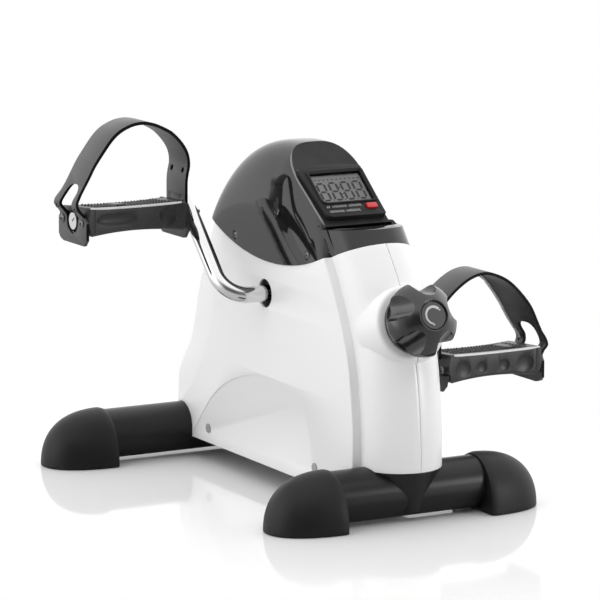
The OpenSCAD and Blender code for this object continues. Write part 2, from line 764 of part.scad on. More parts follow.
module bushes() for (x = [pedal_mid - pedal_len / 2, pedal_mid + pedal_len / 2 - bush_l]) difference() {
    rod_x(spindle_d + 2 * bush_wall, x, x + bush_l);
    rod_x(spindle_d + 2 * run_gap, x - 1, x + bush_l + 1);
}

// Line of the strap, from its plate on the outer end over the crown to the leg that hooks
// on the inner plate, as distance outboard of the pedal's middle and height over the spindle
// The strap stands this far off the block and the inner plate
strap_gap = 0.25;
strap_half = pedal_len / 2 + strap_gap + strap_t;
leg_at = -pedal_len / 2 - end_t - strap_gap - strap_t / 2;
leg_low = collar_d / 2 + 2;
plate_w = 62;
plate_low = 21.5;
crown = strap_high - strap_t / 2;
strap_line = [
    [strap_half - strap_t / 2, -plate_low], [strap_half - strap_t / 2, -4],
    [strap_half - strap_t / 2 + 0.1, 4.6], [strap_half + 1.6, 9.4], [strap_half + 6, 15],
    [strap_half + 5.6, 21], [strap_half + 2, 29], [strap_half - 3, 40], [strap_half - 10, crown - 37],
    [strap_half - 20.5, crown - 24], [strap_half - 33, crown - 12], [strap_half - 46, crown - 4.4],
    [strap_half - 61, crown], [strap_half - 75, crown - 2], [strap_half - 88, crown - 8.5],
    [strap_half - 101.5, crown - 19], [leg_at + 1, crown - 31], [leg_at - 2.6, 49], [leg_at - 1, 39],
    [leg_at - 0.1, 31], [leg_at, leg_low]];

module strap_profile() {
    line = smooth(strap_line, 4);
    last = len(line) - 1;
    side = [for (i = [0 : last])
        let (d = unit(line[min(i + 1, last)] - line[max(i - 1, 0)])) [-d[1], d[0]] * strap_t / 2];
    translate([pedal_mid, 0]) polygon([
        for (i = [0 : last]) line[i] + side[i],
        for (i = [last : -1 : 0]) line[i] - side[i]]);
}

// Outline of the strap's outer half, seen along the spindle: end plate, bosses, band
boss_y = 20;
boss_z = 14;
module strap_outline() polygon([
    [-plate_w / 2, 6 - plate_low], [-plate_w / 2 + 4, 2 - plate_low], [-plate_w / 2 + 11, -plate_low],
    [plate_w / 2 - 6, -plate_low], [plate_w / 2, 6 - plate_low], [plate_w / 2, 1], [boss_y + 6.5, 6],
    [boss_y + 5, 10], [boss_y + 5.5, 15], [boss_y + 3.5, 20], [strap_w / 2 + 0.5, 28], [strap_w / 2, 36],
    [strap_w / 2, 110], [-strap_w / 2, 110], [-strap_w / 2, 36], [-strap_w / 2 - 0.5, 28],
    [-boss_y - 3.5, 20], [-boss_y - 5.5, 15], [-boss_y - 5, 10], [-boss_y - 6.5, 6], [-plate_w / 2, 1]]);

// The opening round the spindle's head, which narrows upwards between the bosses
head_room = 4;
module strap_opening() hull() {
    circle(d = head_d + 2 * head_room);
    translate([0, 13]) circle(r = 13);
    translate([0, 27.5]) circle(r = 7);
}

module strap() difference() {
    intersection() {
        rotate([90, 0, 0]) translate([0, 0, -plate_w / 2]) linear_extrude(plate_w) strap_profile();
        union() {
            translate([0, -strap_w / 2, 0]) cube([pedal_mid, strap_w, 2 * strap_high]);
            side_slab(pedal_len, pedal_mid + pedal_len / 2 - tiny) strap_outline();
        }
    }
    side_slab(pedal_len, pedal_mid + pedal_len / 2 + 10) strap_opening();
    // Screw holes in the plate and the dimples of the bosses
    for (s = [-1, 1]) {
        rod_x(pedal_screw_d + 2 * seat_gap, pedal_mid, big, s * pedal_screw_y);
        rod_x(boss_hole_d, pedal_mid, big, s * boss_y, boss_z);
    }
    // Adjusting holes in the leg, the lower pair over the inner plate's pegs
    for (z = [peg_z, spare_z]) for (s = [-1, 1]) rod_x(peg_d + 0.4, 0, pedal_mid, s * peg_y, z);
}
boss_hole_d = 2.5;
peg_d = 5;
peg_y = 11.5;
peg_z = 17;
spare_z = 43;

module inner_plate() difference() {
    union() {
        hull() {
            for (s = [-1, 1]) rod_x(8, pedal_in, pedal_in + end_t, s * (plate_w / 2 - 9), 4 - plate_low);
            for (s = [-1, 1]) rod_x(4, pedal_in, pedal_in + end_t, s * (plate_w / 2 - 2), -12);
            for (s = [-1, 1]) rod_x(8, pedal_in, pedal_in + end_t, s * (plate_w / 2 - 5), 6);
            for (s = [-1, 1]) rod_x(8, pedal_in, pedal_in + end_t, s * (plate_w / 2 - 10), peg_z + 8);
        }
        for (s = [-1, 1]) rod_x(peg_d, pedal_in - strap_t - 1, pedal_in + end_t, s * peg_y, peg_z);
    }
    rod_x(collar_d + 2, 0, pedal_mid);
    for (s = [-1, 1]) rod_x(pedal_screw_d + 2 * seat_gap, 0, pedal_mid, s * pedal_screw_y);
}

module pedal_screws() for (s = [-1, 1]) {
    out = pedal_mid + strap_half;
    rod_x(pedal_screw_d, pedal_in - tiny, pedal_in + screw_deep, s * pedal_screw_y);
    rod_x(pedal_screw_head, pedal_in - 2, pedal_in - tiny, s * pedal_screw_y);
    rod_x(pedal_screw_d, out - screw_deep, out + tiny, s * pedal_screw_y);
    rod_x(pedal_screw_head, out + tiny, out + 2, s * pedal_screw_y);
}

module left_pedal() color(black_plastic) placed() at_spindle(-1) pedal_block(-1);
module right_pedal() color(black_plastic) placed() at_spindle(1) pedal_block(1);
module left_tread() color(black_rubber) placed() at_spindle(-1) tread(-1);
module right_tread() color(black_rubber) placed() at_spindle(1) tread(1);
module left_bushes() color(steel) placed() at_spindle(-1) bushes();
module right_bushes() color(steel) placed() at_spindle(1) bushes();
module left_strap() color(black_plastic) placed() at_spindle(-1) strap();
module right_strap() color(black_plastic) placed() at_spindle(1) strap();
module left_inner_plate() color(black_plastic) placed() at_spindle(-1) inner_plate();
module right_inner_plate() color(black_plastic) placed() at_spindle(1) inner_plate();
module left_pedal_screws() color(steel) placed() at_spindle(-1) pedal_screws();
module right_pedal_screws() color(steel) placed() at_spindle(1) pedal_screws();

// ---------------------------------------------------------------- brake

band_t = 1.2;
band_w = 16;
felt_r = drum_d / 2 + free_gap;
band_r = felt_r + felt_t + tiny;
// Where the band opens, seen from the left side, towards the knob
open_from = 165;
open_to = 233;

// Slice of a round between two angles, wider than the band
module pie(a0, a1) polygon([[0, 0],
    for (i = [0 : 12]) let (a = a0 + (a1 - a0) * i / 12) drum_d * [cos(a), sin(a)]]);

module brake_felt() color([0.35, 0.32, 0.28]) placed() at_axle() side_slab(band_w) difference() {
    circle(r = felt_r + felt_t);
    circle(r = felt_r);
    pie(open_from - 8, open_to + 8);
}

module brake_band() color(steel) placed() {
    at_axle() side_slab(band_w) {
        difference() {
            circle(r = band_r + band_t);
            circle(r = band_r);
            pie(open_from, open_to);
        }
        // Upper end, bent out to its anchor
        rotate(open_from) translate([ear_root, -band_t / 2]) square([ear, band_t]);
    }
    // Lower end, bent out to the draw rod
    difference() {
        at_axle() side_slab(band_w) rotate(open_to) translate([ear_root, -band_t / 2]) square([ear_low, band_t]);
        at_knob() cylinder(d = draw_d + 2, h = big, center = true);
    }
}
// The bent ends start inside the band's thickness and straddle its ends
ear_root = band_r + band_t / 2;
ear = 14;
ear_low = 30;

// Pin across the frame that holds the upper end of the band
anchor_d = 8;
anchor_half = plate_x - plate_t / 2 - 0.02;
module band_anchor() color(steel) placed() at_axle() rotate([open_from, 0, 0])
    translate([0, band_r + band_t + ear - 9, -band_t / 2 - anchor_d / 2 - 0.05])
        rod_x(anchor_d, -anchor_half, anchor_half);

// Channel that keeps the tension nut from turning; its axis is the knob's
module tension_bracket() color(steel) placed() at_knob() {
    difference() {
        translate([-channel_w / 2 - channel_t, -channel_w / 2 - channel_t, channel_from])
            cube([channel_w + 2 * channel_t, channel_w + channel_t, channel_to - channel_from]);
        translate([-channel_w / 2, -channel_w / 2, channel_from - 1])
            cube([channel_w, channel_w + channel_t, channel_to - channel_from - channel_t]);
        cylinder(d = bolt_m + 2 * free_gap, h = big, center = true);
    }
}
bolt_m = 8;

module knob_bush() color(grey_plastic) placed() at_knob() difference() {
    union() {
        translate([0, 0, collar_len - wall - 12]) cylinder(d = bush_d, h = wall + 12);
        translate([0, 0, collar_len - wall - 3]) cylinder(d = bush_d + 8, h = 2);
    }
    cylinder(d = bolt_m + 2 * run_gap, h = big, center = true);
}

module tension_bolt() color(chrome) placed() at_knob() {
    translate([0, 0, nut_from - 1]) cylinder(d = bolt_m, h = knob_from + knob_len - 8 - nut_from + 1);
    translate([0, 0, knob_from + 20]) cylinder(d = 14, h = 6, $fn = 6);
}

module bolt_ring() color(steel) placed() at_knob() translate([0, 0, collar_len - wall - 12 - 2 - free_gap])
    difference() {
        cylinder(d = bolt_m + 6, h = 2);
        translate([0, 0, -1]) cylinder(d = bolt_m + 2 * seat_gap, h = 4);
    }

// Nut with a yoke round the bolt's end and a draw rod to the band's lower end
nut_from = channel_from + 20;
nut_t = 10;
yoke_t = 2;
yoke_len = nut_travel + 8;
draw_d = 5;
draw_head = 11;
ear_along = 150;
module tension_nut() color(steel) placed() at_knob() {
    half = channel_w / 2 - free_gap;
    difference() {
        translate([-half, -half, nut_from]) cube([2 * half, 2 * half, nut_t]);
        translate([0, 0, nut_from - 1]) cylinder(d = bolt_m + 2 * run_gap, h = nut_t + 2);
    }
    for (s = [-1, 1]) translate([s * (half - yoke_t / 2) - yoke_t / 2, -5, nut_from - yoke_len])
        cube([yoke_t, 10, yoke_len + tiny]);
    translate([-half, -5, nut_from - yoke_len - yoke_t]) cube([2 * half, 10, yoke_t + tiny]);
    // Draw rod with its head behind the band's ear
    rod_end = -ear_along - nut_travel - 4;
    translate([0, 0, rod_end]) cylinder(d = draw_d, h = nut_from - yoke_len - yoke_t / 2 - rod_end);
    translate([0, 0, rod_end - 2]) cylinder(d = draw_head, h = 2);
}

// ---------------------------------------------------------------- knob

knob_cap_d = 26;
module tension_knob() color(black_plastic) placed() at_knob() difference() {
    translate([0, 0, knob_from]) rotate_extrude($fn = 96) polygon([
        [0, 0], [knob_d / 2 - 3, 0], [knob_d / 2 - 1, 4], [knob_d / 2, 12],
        [knob_d / 2 - 1.5, 20], [knob_d / 2 - 8, 30], [knob_d / 2 - 15, 37],
        [knob_cap_d / 2 + 2, knob_len], [0, knob_len]]);
    // Finger scoops
    for (i = [0 : knob_scoops - 1]) rotate(20 + i * 360 / knob_scoops)
        translate([knob_d / 2 + 7, 0, knob_from + 6]) rotate([0, -14, 0]) cylinder(r = 14, h = 60);
    // Seat of the cap and of the bolt with its head
    translate([0, 0, knob_from + knob_len - 2]) cylinder(d = knob_cap_d + 2 * seat_gap, h = 10);
    translate([0, 0, knob_from - 1]) cylinder(d = bolt_m + 2 * seat_gap, h = knob_len);
    translate([0, 0, knob_from + 20 - tiny * 2]) cylinder(d = 14 + 2 * seat_gap, h = 6 + tiny * 4, $fn = 6);
}

module knob_cap() color([0.3, 0.3, 0.31]) placed() at_knob()
    translate([0, 0, knob_from + knob_len - 2 + tiny]) cylinder(d = knob_cap_d, h = 2.5);

// ---------------------------------------------------------------- speed sensor

sensor_y = -22;
sensor_z = -26;
sensor_size = 10;
sensor_in = drum_w / 2 - 3;
module speed_sensor() color(black_plastic) placed() at_axle()
    translate([sensor_in, sensor_y - sensor_size / 2, sensor_z - sensor_size / 2])
        cube([plate_x - plate_t / 2 - sensor_in - tiny, sensor_size, sensor_size]);

cable_d = 2.4;
// From the sensor up past the drum to the back of the display, held at both ends
cable_low = axle_z + sensor_z + 1;
cable_path = [[13.6, -27.02, cable_low], [13.6, -31, cable_low + 0.4], [13.6, -36.5, cable_low + 5],
    [13.6, -38, cable_low + 15], [13.6, -37, cable_low + 30], [13.6, -36, 212], [13, -39, 230],
    [10, -45, 246], [6, -53.5, 264.1], [6, -60.96, 273.5]];

// A round cord along the points p
module cord(p, d, n = 8) {
    last = len(p) - 1;
    points = [for (i = [0 : last]) let (
        t = unit(p[min(i + 1, last)] - p[max(i - 1, 0)]),
        u = unit(cross(t, [1, 0, 0])),
        v = cross(t, u))
        for (k = [0 : n - 1]) p[i] + d / 2 * (cos(360 * k / n) * u + sin(360 * k / n) * v)];
    faces = [
        [for (k = [0 : n - 1]) k],
        for (i = [0 : last - 1]) for (k = [0 : n - 1]) let (m = (k + 1) % n)
            [i * n + k, (i + 1) * n + k, (i + 1) * n + m],
        for (i = [0 : last - 1]) for (k = [0 : n - 1]) let (m = (k + 1) % n)
            [i * n + k, (i + 1) * n + m, i * n + m],
        [for (k = [n - 1 : -1 : 0]) last * n + k]];
    polyhedron(points = points, faces = faces);
}
module sensor_cable() color(black_rubber) placed() cord(smooth(cable_path, 4), cable_d);

// ---------------------------------------------------------------- assembly

front_tube();
rear_tube();
front_left_cap();
front_right_cap();
rear_left_cap();
rear_right_cap();
front_neck();
main_frame();
front_bolts();
rear_bolts();
left_bearing();
right_bearing();
left_shell();
right_shell();
shell_screws();
left_plugs();
right_plugs();
top_cover();
cover_screws();
display_housing();
display_lens();
lcd_panel();
circuit_board();
battery();
battery_door();
reset_button();
brake_band();
brake_felt();
band_anchor();
tension_bracket();
knob_bush();
speed_sensor();
sensor_cable();
crank_rod();
brake_drum();
axle_rings();
drum_magnet();
left_spindle();
right_spindle();
left_pedal();
right_pedal();
left_tread();
right_tread();
left_bushes();
right_bushes();
left_strap();
right_strap();
left_inner_plate();
right_inner_plate();
left_pedal_screws();
right_pedal_screws();
tension_knob();
knob_cap();
tension_bolt();
bolt_ring();
tension_nut();
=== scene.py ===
import json
import math

import bpy
import bmesh
from mathutils import Matrix, Vector


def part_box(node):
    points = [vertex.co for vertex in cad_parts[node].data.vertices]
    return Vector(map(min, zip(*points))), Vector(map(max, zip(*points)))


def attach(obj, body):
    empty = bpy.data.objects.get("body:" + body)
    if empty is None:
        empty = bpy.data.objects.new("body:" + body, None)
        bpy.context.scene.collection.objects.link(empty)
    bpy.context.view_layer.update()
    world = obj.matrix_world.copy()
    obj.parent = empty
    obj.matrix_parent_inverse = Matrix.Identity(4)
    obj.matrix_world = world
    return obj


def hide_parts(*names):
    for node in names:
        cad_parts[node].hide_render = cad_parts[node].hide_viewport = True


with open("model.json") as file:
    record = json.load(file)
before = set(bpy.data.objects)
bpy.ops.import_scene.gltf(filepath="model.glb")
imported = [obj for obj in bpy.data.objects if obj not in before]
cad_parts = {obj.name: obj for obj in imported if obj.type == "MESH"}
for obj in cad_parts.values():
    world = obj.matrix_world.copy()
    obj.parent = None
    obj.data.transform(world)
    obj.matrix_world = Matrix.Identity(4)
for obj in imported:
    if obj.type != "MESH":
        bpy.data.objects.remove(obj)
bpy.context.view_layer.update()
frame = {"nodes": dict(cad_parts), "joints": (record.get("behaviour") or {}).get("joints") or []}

scene = bpy.context.scene
MM = 0.001

# ---------------------------------------------------------------- places read from the frame


def middle(node):
    """Middle of a node's box, in millimetres."""
    low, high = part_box(node)
    return (low + high) / 2 / MM


FRONT_TUBE = middle("front_tube")
REAR_TUBE = middle("rear_tube")
# Shapes are drawn in millimetres about the middle between the two tubes
MID_X = FRONT_TUBE.x
MID_Y = (FRONT_TUBE.y + REAR_TUBE.y) / 2
MIDDLE = Vector((MID_X, MID_Y, 0))
FRONT_Y = FRONT_TUBE.y - MID_Y
REAR_Y = REAR_TUBE.y - MID_Y
TUBE_RISE = FRONT_TUBE.z
TUBE_R = (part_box("front_tube")[1].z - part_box("front_tube")[0].z) / 2 / MM
AXLE_Z = middle("brake_drum").z
SIDE_HALF = MID_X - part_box("left_plugs")[0].x / MM - 0.4
WALL = 2.5
PART_GAP = 0.3
REACH = 90  # half the length of a cutter that goes right through the body

joints = {joint["name"]: joint for joint in frame["joints"]}
KNOB_OUT = -Vector(joints["knob_turn"]["axis"])
KNOB_ROOT = Vector(joints["knob_turn"]["pos_m"]) / MM - MIDDLE
KNOB_UP = KNOB_OUT.cross(Vector((1, 0, 0)))
FACE_OUT = -Vector(joints["button_press"]["axis"])
FACE_UP = Vector((0, FACE_OUT.z, -FACE_OUT.y))
# Foot of the display's slope, and the level of the ledge before it
LIP = Vector((0, -98, 267))
LEDGE_Z = 266
SQUARE = ((-1, -1), (1, -1), (1, 1), (-1, 1))


def at_knob(x, y, h):
    """Point x to the right, y up and h out along the knob's axis."""
    return KNOB_ROOT + Vector((x, 0, 0)) + KNOB_UP * y + KNOB_OUT * h


def at_face(x, s, n):
    """Point x to the right, s up the display's slope and n out of it."""
    return LIP + Vector((x, 0, 0)) + FACE_UP * s + FACE_OUT * n


def plate(name, outline, low, high, material=None):
    """Flat piece on the display's slope between two heights."""
    return loft(name, [[at_face(x, s, n) for x, s in outline] for n in (low, high)], material)


def link(name, data):
    """A new object that carries the mesh, camera or lamp."""
    obj = bpy.data.objects.new(name, data)
    scene.collection.objects.link(obj)
    return obj


# ---------------------------------------------------------------- camera

CAMERA_TURN = math.radians(28.8)
CAMERA_RISE = math.radians(9.9)
CAMERA_DISTANCE = 3.6
CAMERA_LENS = 221.4
CAMERA_SENSOR = 36
TARGET = (MIDDLE + Vector((-10, 0, 181))) * MM


def make_camera():
    data = bpy.data.cameras.new("camera")
    data.lens = CAMERA_LENS
    data.sensor_width = CAMERA_SENSOR
    data.clip_end = 50
    camera = link("camera", data)
    away = Vector((
        -math.sin(CAMERA_TURN) * math.cos(CAMERA_RISE),
        -math.cos(CAMERA_TURN) * math.cos(CAMERA_RISE),
        math.sin(CAMERA_RISE)))
    camera.location = TARGET + away * CAMERA_DISTANCE
    camera.rotation_euler = (-away).to_track_quat("-Z", "Y").to_euler()
    scene.camera = camera


make_camera()
scene.view_settings.view_transform = "Standard"

# ---------------------------------------------------------------- node helpers


def add(tree, kind, inputs=None, **settings):
    """A new node of that kind with its settings and its inputs' values or links."""
    node = tree.nodes.new(kind)
    for key, value in settings.items():
        setattr(node, key, value)
    for key, value in (inputs or {}).items():
        socket = node.inputs[key]
        if isinstance(value, bpy.types.NodeSocket):
            tree.links.new(value, socket)
        else:
            socket.default_value = value
    return node


def math_node(tree, operation, a, b, clamp=False):
    node = add(tree, "ShaderNodeMath", {0: a, 1: b}, operation=operation, use_clamp=clamp)
    return node.outputs[0]


def linear(level):
    """Linear value of an sRGB level from 0 to 255."""
    level = level / 255
    return level / 12.92 if level <= 0.04045 else ((level + 0.055) / 1.055) ** 2.4


def grey(level):
    value = linear(level)
    return (value, value, value, 1)


def rgb(r, g, b):
    return (linear(r), linear(g), linear(b), 1)


def new_group(name, inputs, outputs):
    """A shader group with named float inputs and its outputs, given as (name, socket type)."""
    group = bpy.data.node_groups.new(name, "ShaderNodeTree")
    for label, value in inputs:
        kind = "NodeSocketColor" if isinstance(value, tuple) else "NodeSocketFloat"
        socket = group.interface.new_socket(label, in_out="INPUT", socket_type=kind)
        socket.default_value = value
    for label, kind in outputs:
        group.interface.new_socket(label, in_out="OUTPUT", socket_type=kind)
    return group, group.nodes.new("NodeGroupInput"), group.nodes.new("NodeGroupOutput")


def noise(tree, scale, detail, rough, place=None):
    """Noise over the object's own space, or over another place."""
    if place is None:
        place = add(tree, "ShaderNodeTexCoord").outputs["Object"]
    node = add(tree, "ShaderNodeTexNoise", {"Vector": place, "Scale": scale, "Detail": detail, "Roughness": rough})
    return node.outputs["Fac"]


def grain_group():
    """Fine moulded or sprayed grain: a height for a bump and a mask for roughness."""
    group, given, out = new_group(
        "surface grain", [("Scale", 900.0), ("Spread", 0.5)],
        [("Height", "NodeSocketFloat"), ("Mask", "NodeSocketFloat")])
    fine = noise(group, given.outputs["Scale"], 3.0, 0.6)
    broad = noise(group, math_node(group, "MULTIPLY", given.outputs["Scale"], 0.02), 4.0, 0.55)
    mixed = add(group, "ShaderNodeMix", {0: given.outputs["Spread"], 2: fine, 3: broad})
    group.links.new(fine, out.inputs["Height"])
    group.links.new(mixed.outputs[0], out.inputs["Mask"])
    return group


def wear_group():
    """Edge wear: a mask that is high on sharp outer edges, broken up by noise."""
    group, given, out = new_group(
        "edge wear", [("Width", 0.03), ("Amount", 0.5), ("Scale", 60.0)], [("Mask", "NodeSocketFloat")])
    shape = add(group, "ShaderNodeNewGeometry")
    over = math_node(group, "SUBTRACT", shape.outputs["Pointiness"], 0.5)
    sharp = math_node(group, "DIVIDE", over, given.outputs["Width"], clamp=True)
    broken = math_node(group, "MULTIPLY", sharp, noise(group, given.outputs["Scale"], 5.0, 0.5))
    mask = math_node(group, "MULTIPLY", broken, given.outputs["Amount"], clamp=True)
    group.links.new(mask, out.inputs["Mask"])
    return group


def dust_group():
    """Light dust that settles on faces that look up."""
    group, given, out = new_group("settled dust", [("Amount", 0.1), ("Scale", 30.0)], [("Mask", "NodeSocketFloat")])
    shape = add(group, "ShaderNodeNewGeometry")
    parts = add(group, "ShaderNodeSeparateXYZ", {0: shape.outputs["Normal"]})
    up = math_node(group, "MAXIMUM", parts.outputs["Z"], 0.0)
    patch = math_node(group, "MULTIPLY", up, noise(group, given.outputs["Scale"], 6.0, 0.7))
    mask = math_node(group, "MULTIPLY", patch, given.outputs["Amount"], clamp=True)
    group.links.new(mask, out.inputs["Mask"])
    return group


def brushed_group():
    """Fine drawn lines along X, as on turned and drawn steel."""
    group, given, out = new_group("drawn lines", [("Scale", 700.0)], [("Mask", "NodeSocketFloat")])
    place = add(group, "ShaderNodeTexCoord")
    stretched = add(group, "ShaderNodeMapping", {"Vector": place.outputs["Object"], "Scale": (0.04, 1.0, 1.0)})
    group.links.new(noise(group, given.outputs["Scale"], 4.0, 0.5, stretched.outputs[0]), out.inputs["Mask"])
    return group


GRAIN = grain_group()
WEAR = wear_group()
DUST = dust_group()
BRUSHED = brushed_group()


def use(tree, group, inputs=None):
    return add(tree, "ShaderNodeGroup", inputs, node_tree=group)


def mix_colour(tree, factor, a, b):
    return add(tree, "ShaderNodeMix", {0: factor, 6: a, 7: b}, data_type="RGBA").outputs[2]


def span(tree, mask, low, high):
    """The mask stretched from low to high."""
    return add(tree, "ShaderNodeMapRange", {"Value": mask, "To Min": low, "To Max": high}).outputs[0]


def new_material(name):
    """A material with its tree and its main shader."""
    material = bpy.data.materials.new(name)
    material.use_nodes = True
    return material, material.node_tree, material.node_tree.nodes["Principled BSDF"]


def show_through(tree, share, seen, below):
    """Puts out the share of one shader over the other."""
    mixed = add(tree, "ShaderNodeMixShader", {0: share, 1: below, 2: seen})
    tree.links.new(mixed.outputs[0], tree.nodes["Material Output"].inputs["Surface"])


BUMP_DEEP = 0.0004
COAT_ROUGH = 0.06
DUST_GREY = 205


def finish_of(name, colour, rough, grain_scale=900.0, bump=0.02, coat=0.0, wear=0.3, worn=None,
              dust=0.06, tint=0.06, specular=0.5):
    """A material with grain in its bump and roughness, colour drift, worn edges and a trace of dust.
    rough is (low, high), and worn the colour that shows at the edges."""
    material, tree, surface = new_material(name)
    grain = use(tree, GRAIN, {"Scale": grain_scale})
    edge = use(tree, WEAR, {"Amount": wear})
    settled = use(tree, DUST, {"Amount": dust})
    darker = tuple(c * (1 - tint) for c in colour[:3]) + (1,)
    base = mix_colour(tree, grain.outputs["Mask"], darker, colour)
    base = mix_colour(tree, edge.outputs["Mask"], base, worn or colour)
    base = mix_colour(tree, settled.outputs["Mask"], base, grey(DUST_GREY))
    tree.links.new(base, surface.inputs["Base Color"])
    tree.links.new(span(tree, grain.outputs["Mask"], *rough), surface.inputs["Roughness"])
    relief = add(tree, "ShaderNodeBump", {
        "Height": grain.outputs["Height"], "Strength": bump, "Distance": BUMP_DEEP})
    tree.links.new(relief.outputs[0], surface.inputs["Normal"])
    surface.inputs["Coat Weight"].default_value = coat
    surface.inputs["Coat Roughness"].default_value = COAT_ROUGH
    surface.inputs["Specular IOR Level"].default_value = specular
    return material


def metal_of(name, colour, rough):
    """Drawn or turned metal: fine lines in its roughness and colour, with brighter edges."""
    material, tree, surface = new_material(name)
    lines = use(tree, BRUSHED)
    edge = use(tree, WEAR, {"Amount": 0.4})
    darker = tuple(c * 0.86 for c in colour[:3]) + (1,)
    base = mix_colour(tree, lines.outputs["Mask"], darker, colour)
    base = mix_colour(tree, edge.outputs["Mask"], base, grey(238))
    tree.links.new(base, surface.inputs["Base Color"])
    tree.links.new(span(tree, lines.outputs["Mask"], *rough), surface.inputs["Roughness"])
    surface.inputs["Metallic"].default_value = 1.0
    return material


white_plastic = finish_of("white plastic", grey(248), (0.26, 0.31), 500, 0.0, tint=0.008, dust=0.0, wear=0.0)
gloss_black = finish_of("gloss black plastic", grey(24), (0.05, 0.09), 300, 0.004, tint=0.1, wear=0.06,
                        worn=grey(70), dust=0.015)
matte_black = finish_of("matte black plastic", grey(24), (0.36, 0.46), 1600, 0.15, worn=grey(76), dust=0.01,
                        specular=0.2)
# Flat near-black that stands for shade: painted shade on the window walls, the strap's narrow sides, the spindle's
# slot and the ring round it
painted_shade_black = finish_of("painted shade black", grey(9), (0.5, 0.6), 900, 0.05, wear=0.0, dust=0.0, specular=0.12)
pedal_black = finish_of("pedal black plastic", grey(30), (0.34, 0.46), 1500, 0.25, wear=0.4, worn=grey(84),
                        dust=0.02)
strap_black = finish_of("strap plastic", grey(66), (0.34, 0.46), 900, 0.12, wear=0.2, worn=grey(80), dust=0.02)
knob_black = finish_of("knob plastic", grey(14), (0.13, 0.2), 1400, 0.03, worn=grey(80), dust=0.0, specular=0.85)
knob_grey = finish_of("knob cap plastic", grey(74), (0.45, 0.55), 1200, 0.12, wear=0.2)
cap_black = finish_of("cap plastic", grey(20), (0.4, 0.52), 1300, 0.22, wear=0.25, worn=grey(60), dust=0.01,
                      specular=0.3)
tube_black = finish_of("powder coat", grey(18), (0.3, 0.4), 700, 0.12, wear=0.2, worn=grey(54), dust=0.01,
                       specular=0.35)
frame_coat = finish_of("frame coat", grey(60), (0.4, 0.5), 600, 0.15)
plug_grey = finish_of("grey plug plastic", grey(166), (0.4, 0.5), 1000, 0.1, wear=0.1)
# Lighter than the cover's black: a painted highlight on the raised bead over the display
rim_highlight_black = finish_of("raised rim, painted highlight grey", grey(70), (0.2, 0.3), 900, 0.03, wear=0.2, worn=grey(120), dust=0.0)
# Light grey that stands for a painted highlight along the face's edge
rim_highlight_grey = finish_of("painted highlight bead", grey(128), (0.15, 0.25), 900, 0.02, wear=0.1, dust=0.0)
rubber = finish_of("ribbed rubber", grey(36), (0.5, 0.65), 1800, 0.3, worn=grey(110))
button_red = finish_of("red plastic", rgb(206, 28, 40), (0.25, 0.35), 1000, 0.05, coat=0.3, wear=0.1)
white_ink = finish_of("white ink", grey(214), (0.5, 0.6), wear=0.0)
lcd_ink = finish_of("display segments", grey(84), (0.3, 0.4), 900, 0.0, wear=0.0)
lcd_glass = finish_of("display panel", grey(206), (0.25, 0.35), 400, 0.0, wear=0.0, tint=0.05)
# Light grey that stands for a painted highlight along the pedals' front top edge
edge_highlight_grey = finish_of("painted highlight strip", grey(226), (0.22, 0.3), 800, 0.05, wear=0.1)
# Near-white that stands for a painted highlight on the strap's rear edge
strap_highlight_white = finish_of("strap edge highlight", grey(238), (0.3, 0.4), 800, 0.05, wear=0.1)
felt = finish_of("pressed felt", grey(88), (0.85, 0.95), 2500, 0.6, wear=0.0, tint=0.3)
board_green = finish_of("board green", rgb(30, 92, 52), (0.3, 0.4), 900, 0.05)
cell_wrap = finish_of("cell wrap", rgb(176, 148, 70), (0.3, 0.4), 600)
chrome = metal_of("chrome", grey(228), (0.04, 0.09))
zinc = metal_of("zinc plate", grey(168), (0.25, 0.42))
iron = metal_of("turned iron", grey(122), (0.3, 0.5))
bronze = metal_of("sintered bronze", rgb(178, 136, 84), (0.35, 0.5))
dark_screw = metal_of("black oxide", grey(58), (0.25, 0.4))


def clear_plastic():
    """Thin pane: clear, with a gloss that grows towards grazing views."""
    material, tree, surface = new_material("clear lens")
    grain = use(tree, GRAIN, {"Scale": 300.0})
    surface.inputs["Base Color"].default_value = grey(20)
    tree.links.new(span(tree, grain.outputs["Mask"], 0.02, 0.06), surface.inputs["Roughness"])
    share = add(tree, "ShaderNodeFresnel", {"IOR": 1.3})
    clear = add(tree, "ShaderNodeBsdfTransparent")
    show_through(tree, share.outputs[0], surface.outputs[0], clear.outputs[0])
    return material


lens_clear = clear_plastic()

# ---------------------------------------------------------------- mesh helpers

SMOOTH = 32  # degrees under which two faces are shaded as one surface


def put(name, verts, faces, material, smooth):
    """A piece from points in millimetres about the middle between the tubes."""
    mesh = bpy.data.meshes.new(name)
    mesh.from_pydata([((x + MID_X) * MM, (y + MID_Y) * MM, z * MM) for x, y, z in verts], [], faces)
    obj = link(name, mesh)
    tidy(obj, smooth)
    if material:
        mesh.materials.append(material)
    return obj


def tidy(obj, smooth=SMOOTH, merge=0.002):
    """Merges doubles, turns the faces outwards and shades by angle."""
    bm = bmesh.new()
    bm.from_mesh(obj.data)
    bmesh.ops.remove_doubles(bm, verts=bm.verts, dist=merge * MM)
    bmesh.ops.recalc_face_normals(bm, faces=bm.faces)
    bm.to_mesh(obj.data)
    bm.free()
    shade(obj, smooth)


def shade(obj, smooth=SMOOTH):
    obj.data.shade_smooth()
    obj.data.set_sharp_from_angle(angle=math.radians(smooth))


def loft(name, rings, material=None, smooth=SMOOTH, close=False):
    """Skin through rings of equal count, with flat ends, or joined end to start when close is set."""
    n = len(rings[0])
    verts = [p for ring in rings for p in ring]
    bands = len(rings) if close else len(rings) - 1
    total = len(verts)
    faces = []
    for j in range(bands):
        for i in range(n):
            on = (i + 1) % n
            faces.append((j * n + i, j * n + on, ((j + 1) * n + on) % total, ((j + 1) * n + i) % total))
    if not close:
        faces.append(tuple(range(n - 1, -1, -1)))
        faces.append(tuple(range(total - n, total)))
    return put(name, verts, faces, material, smooth)


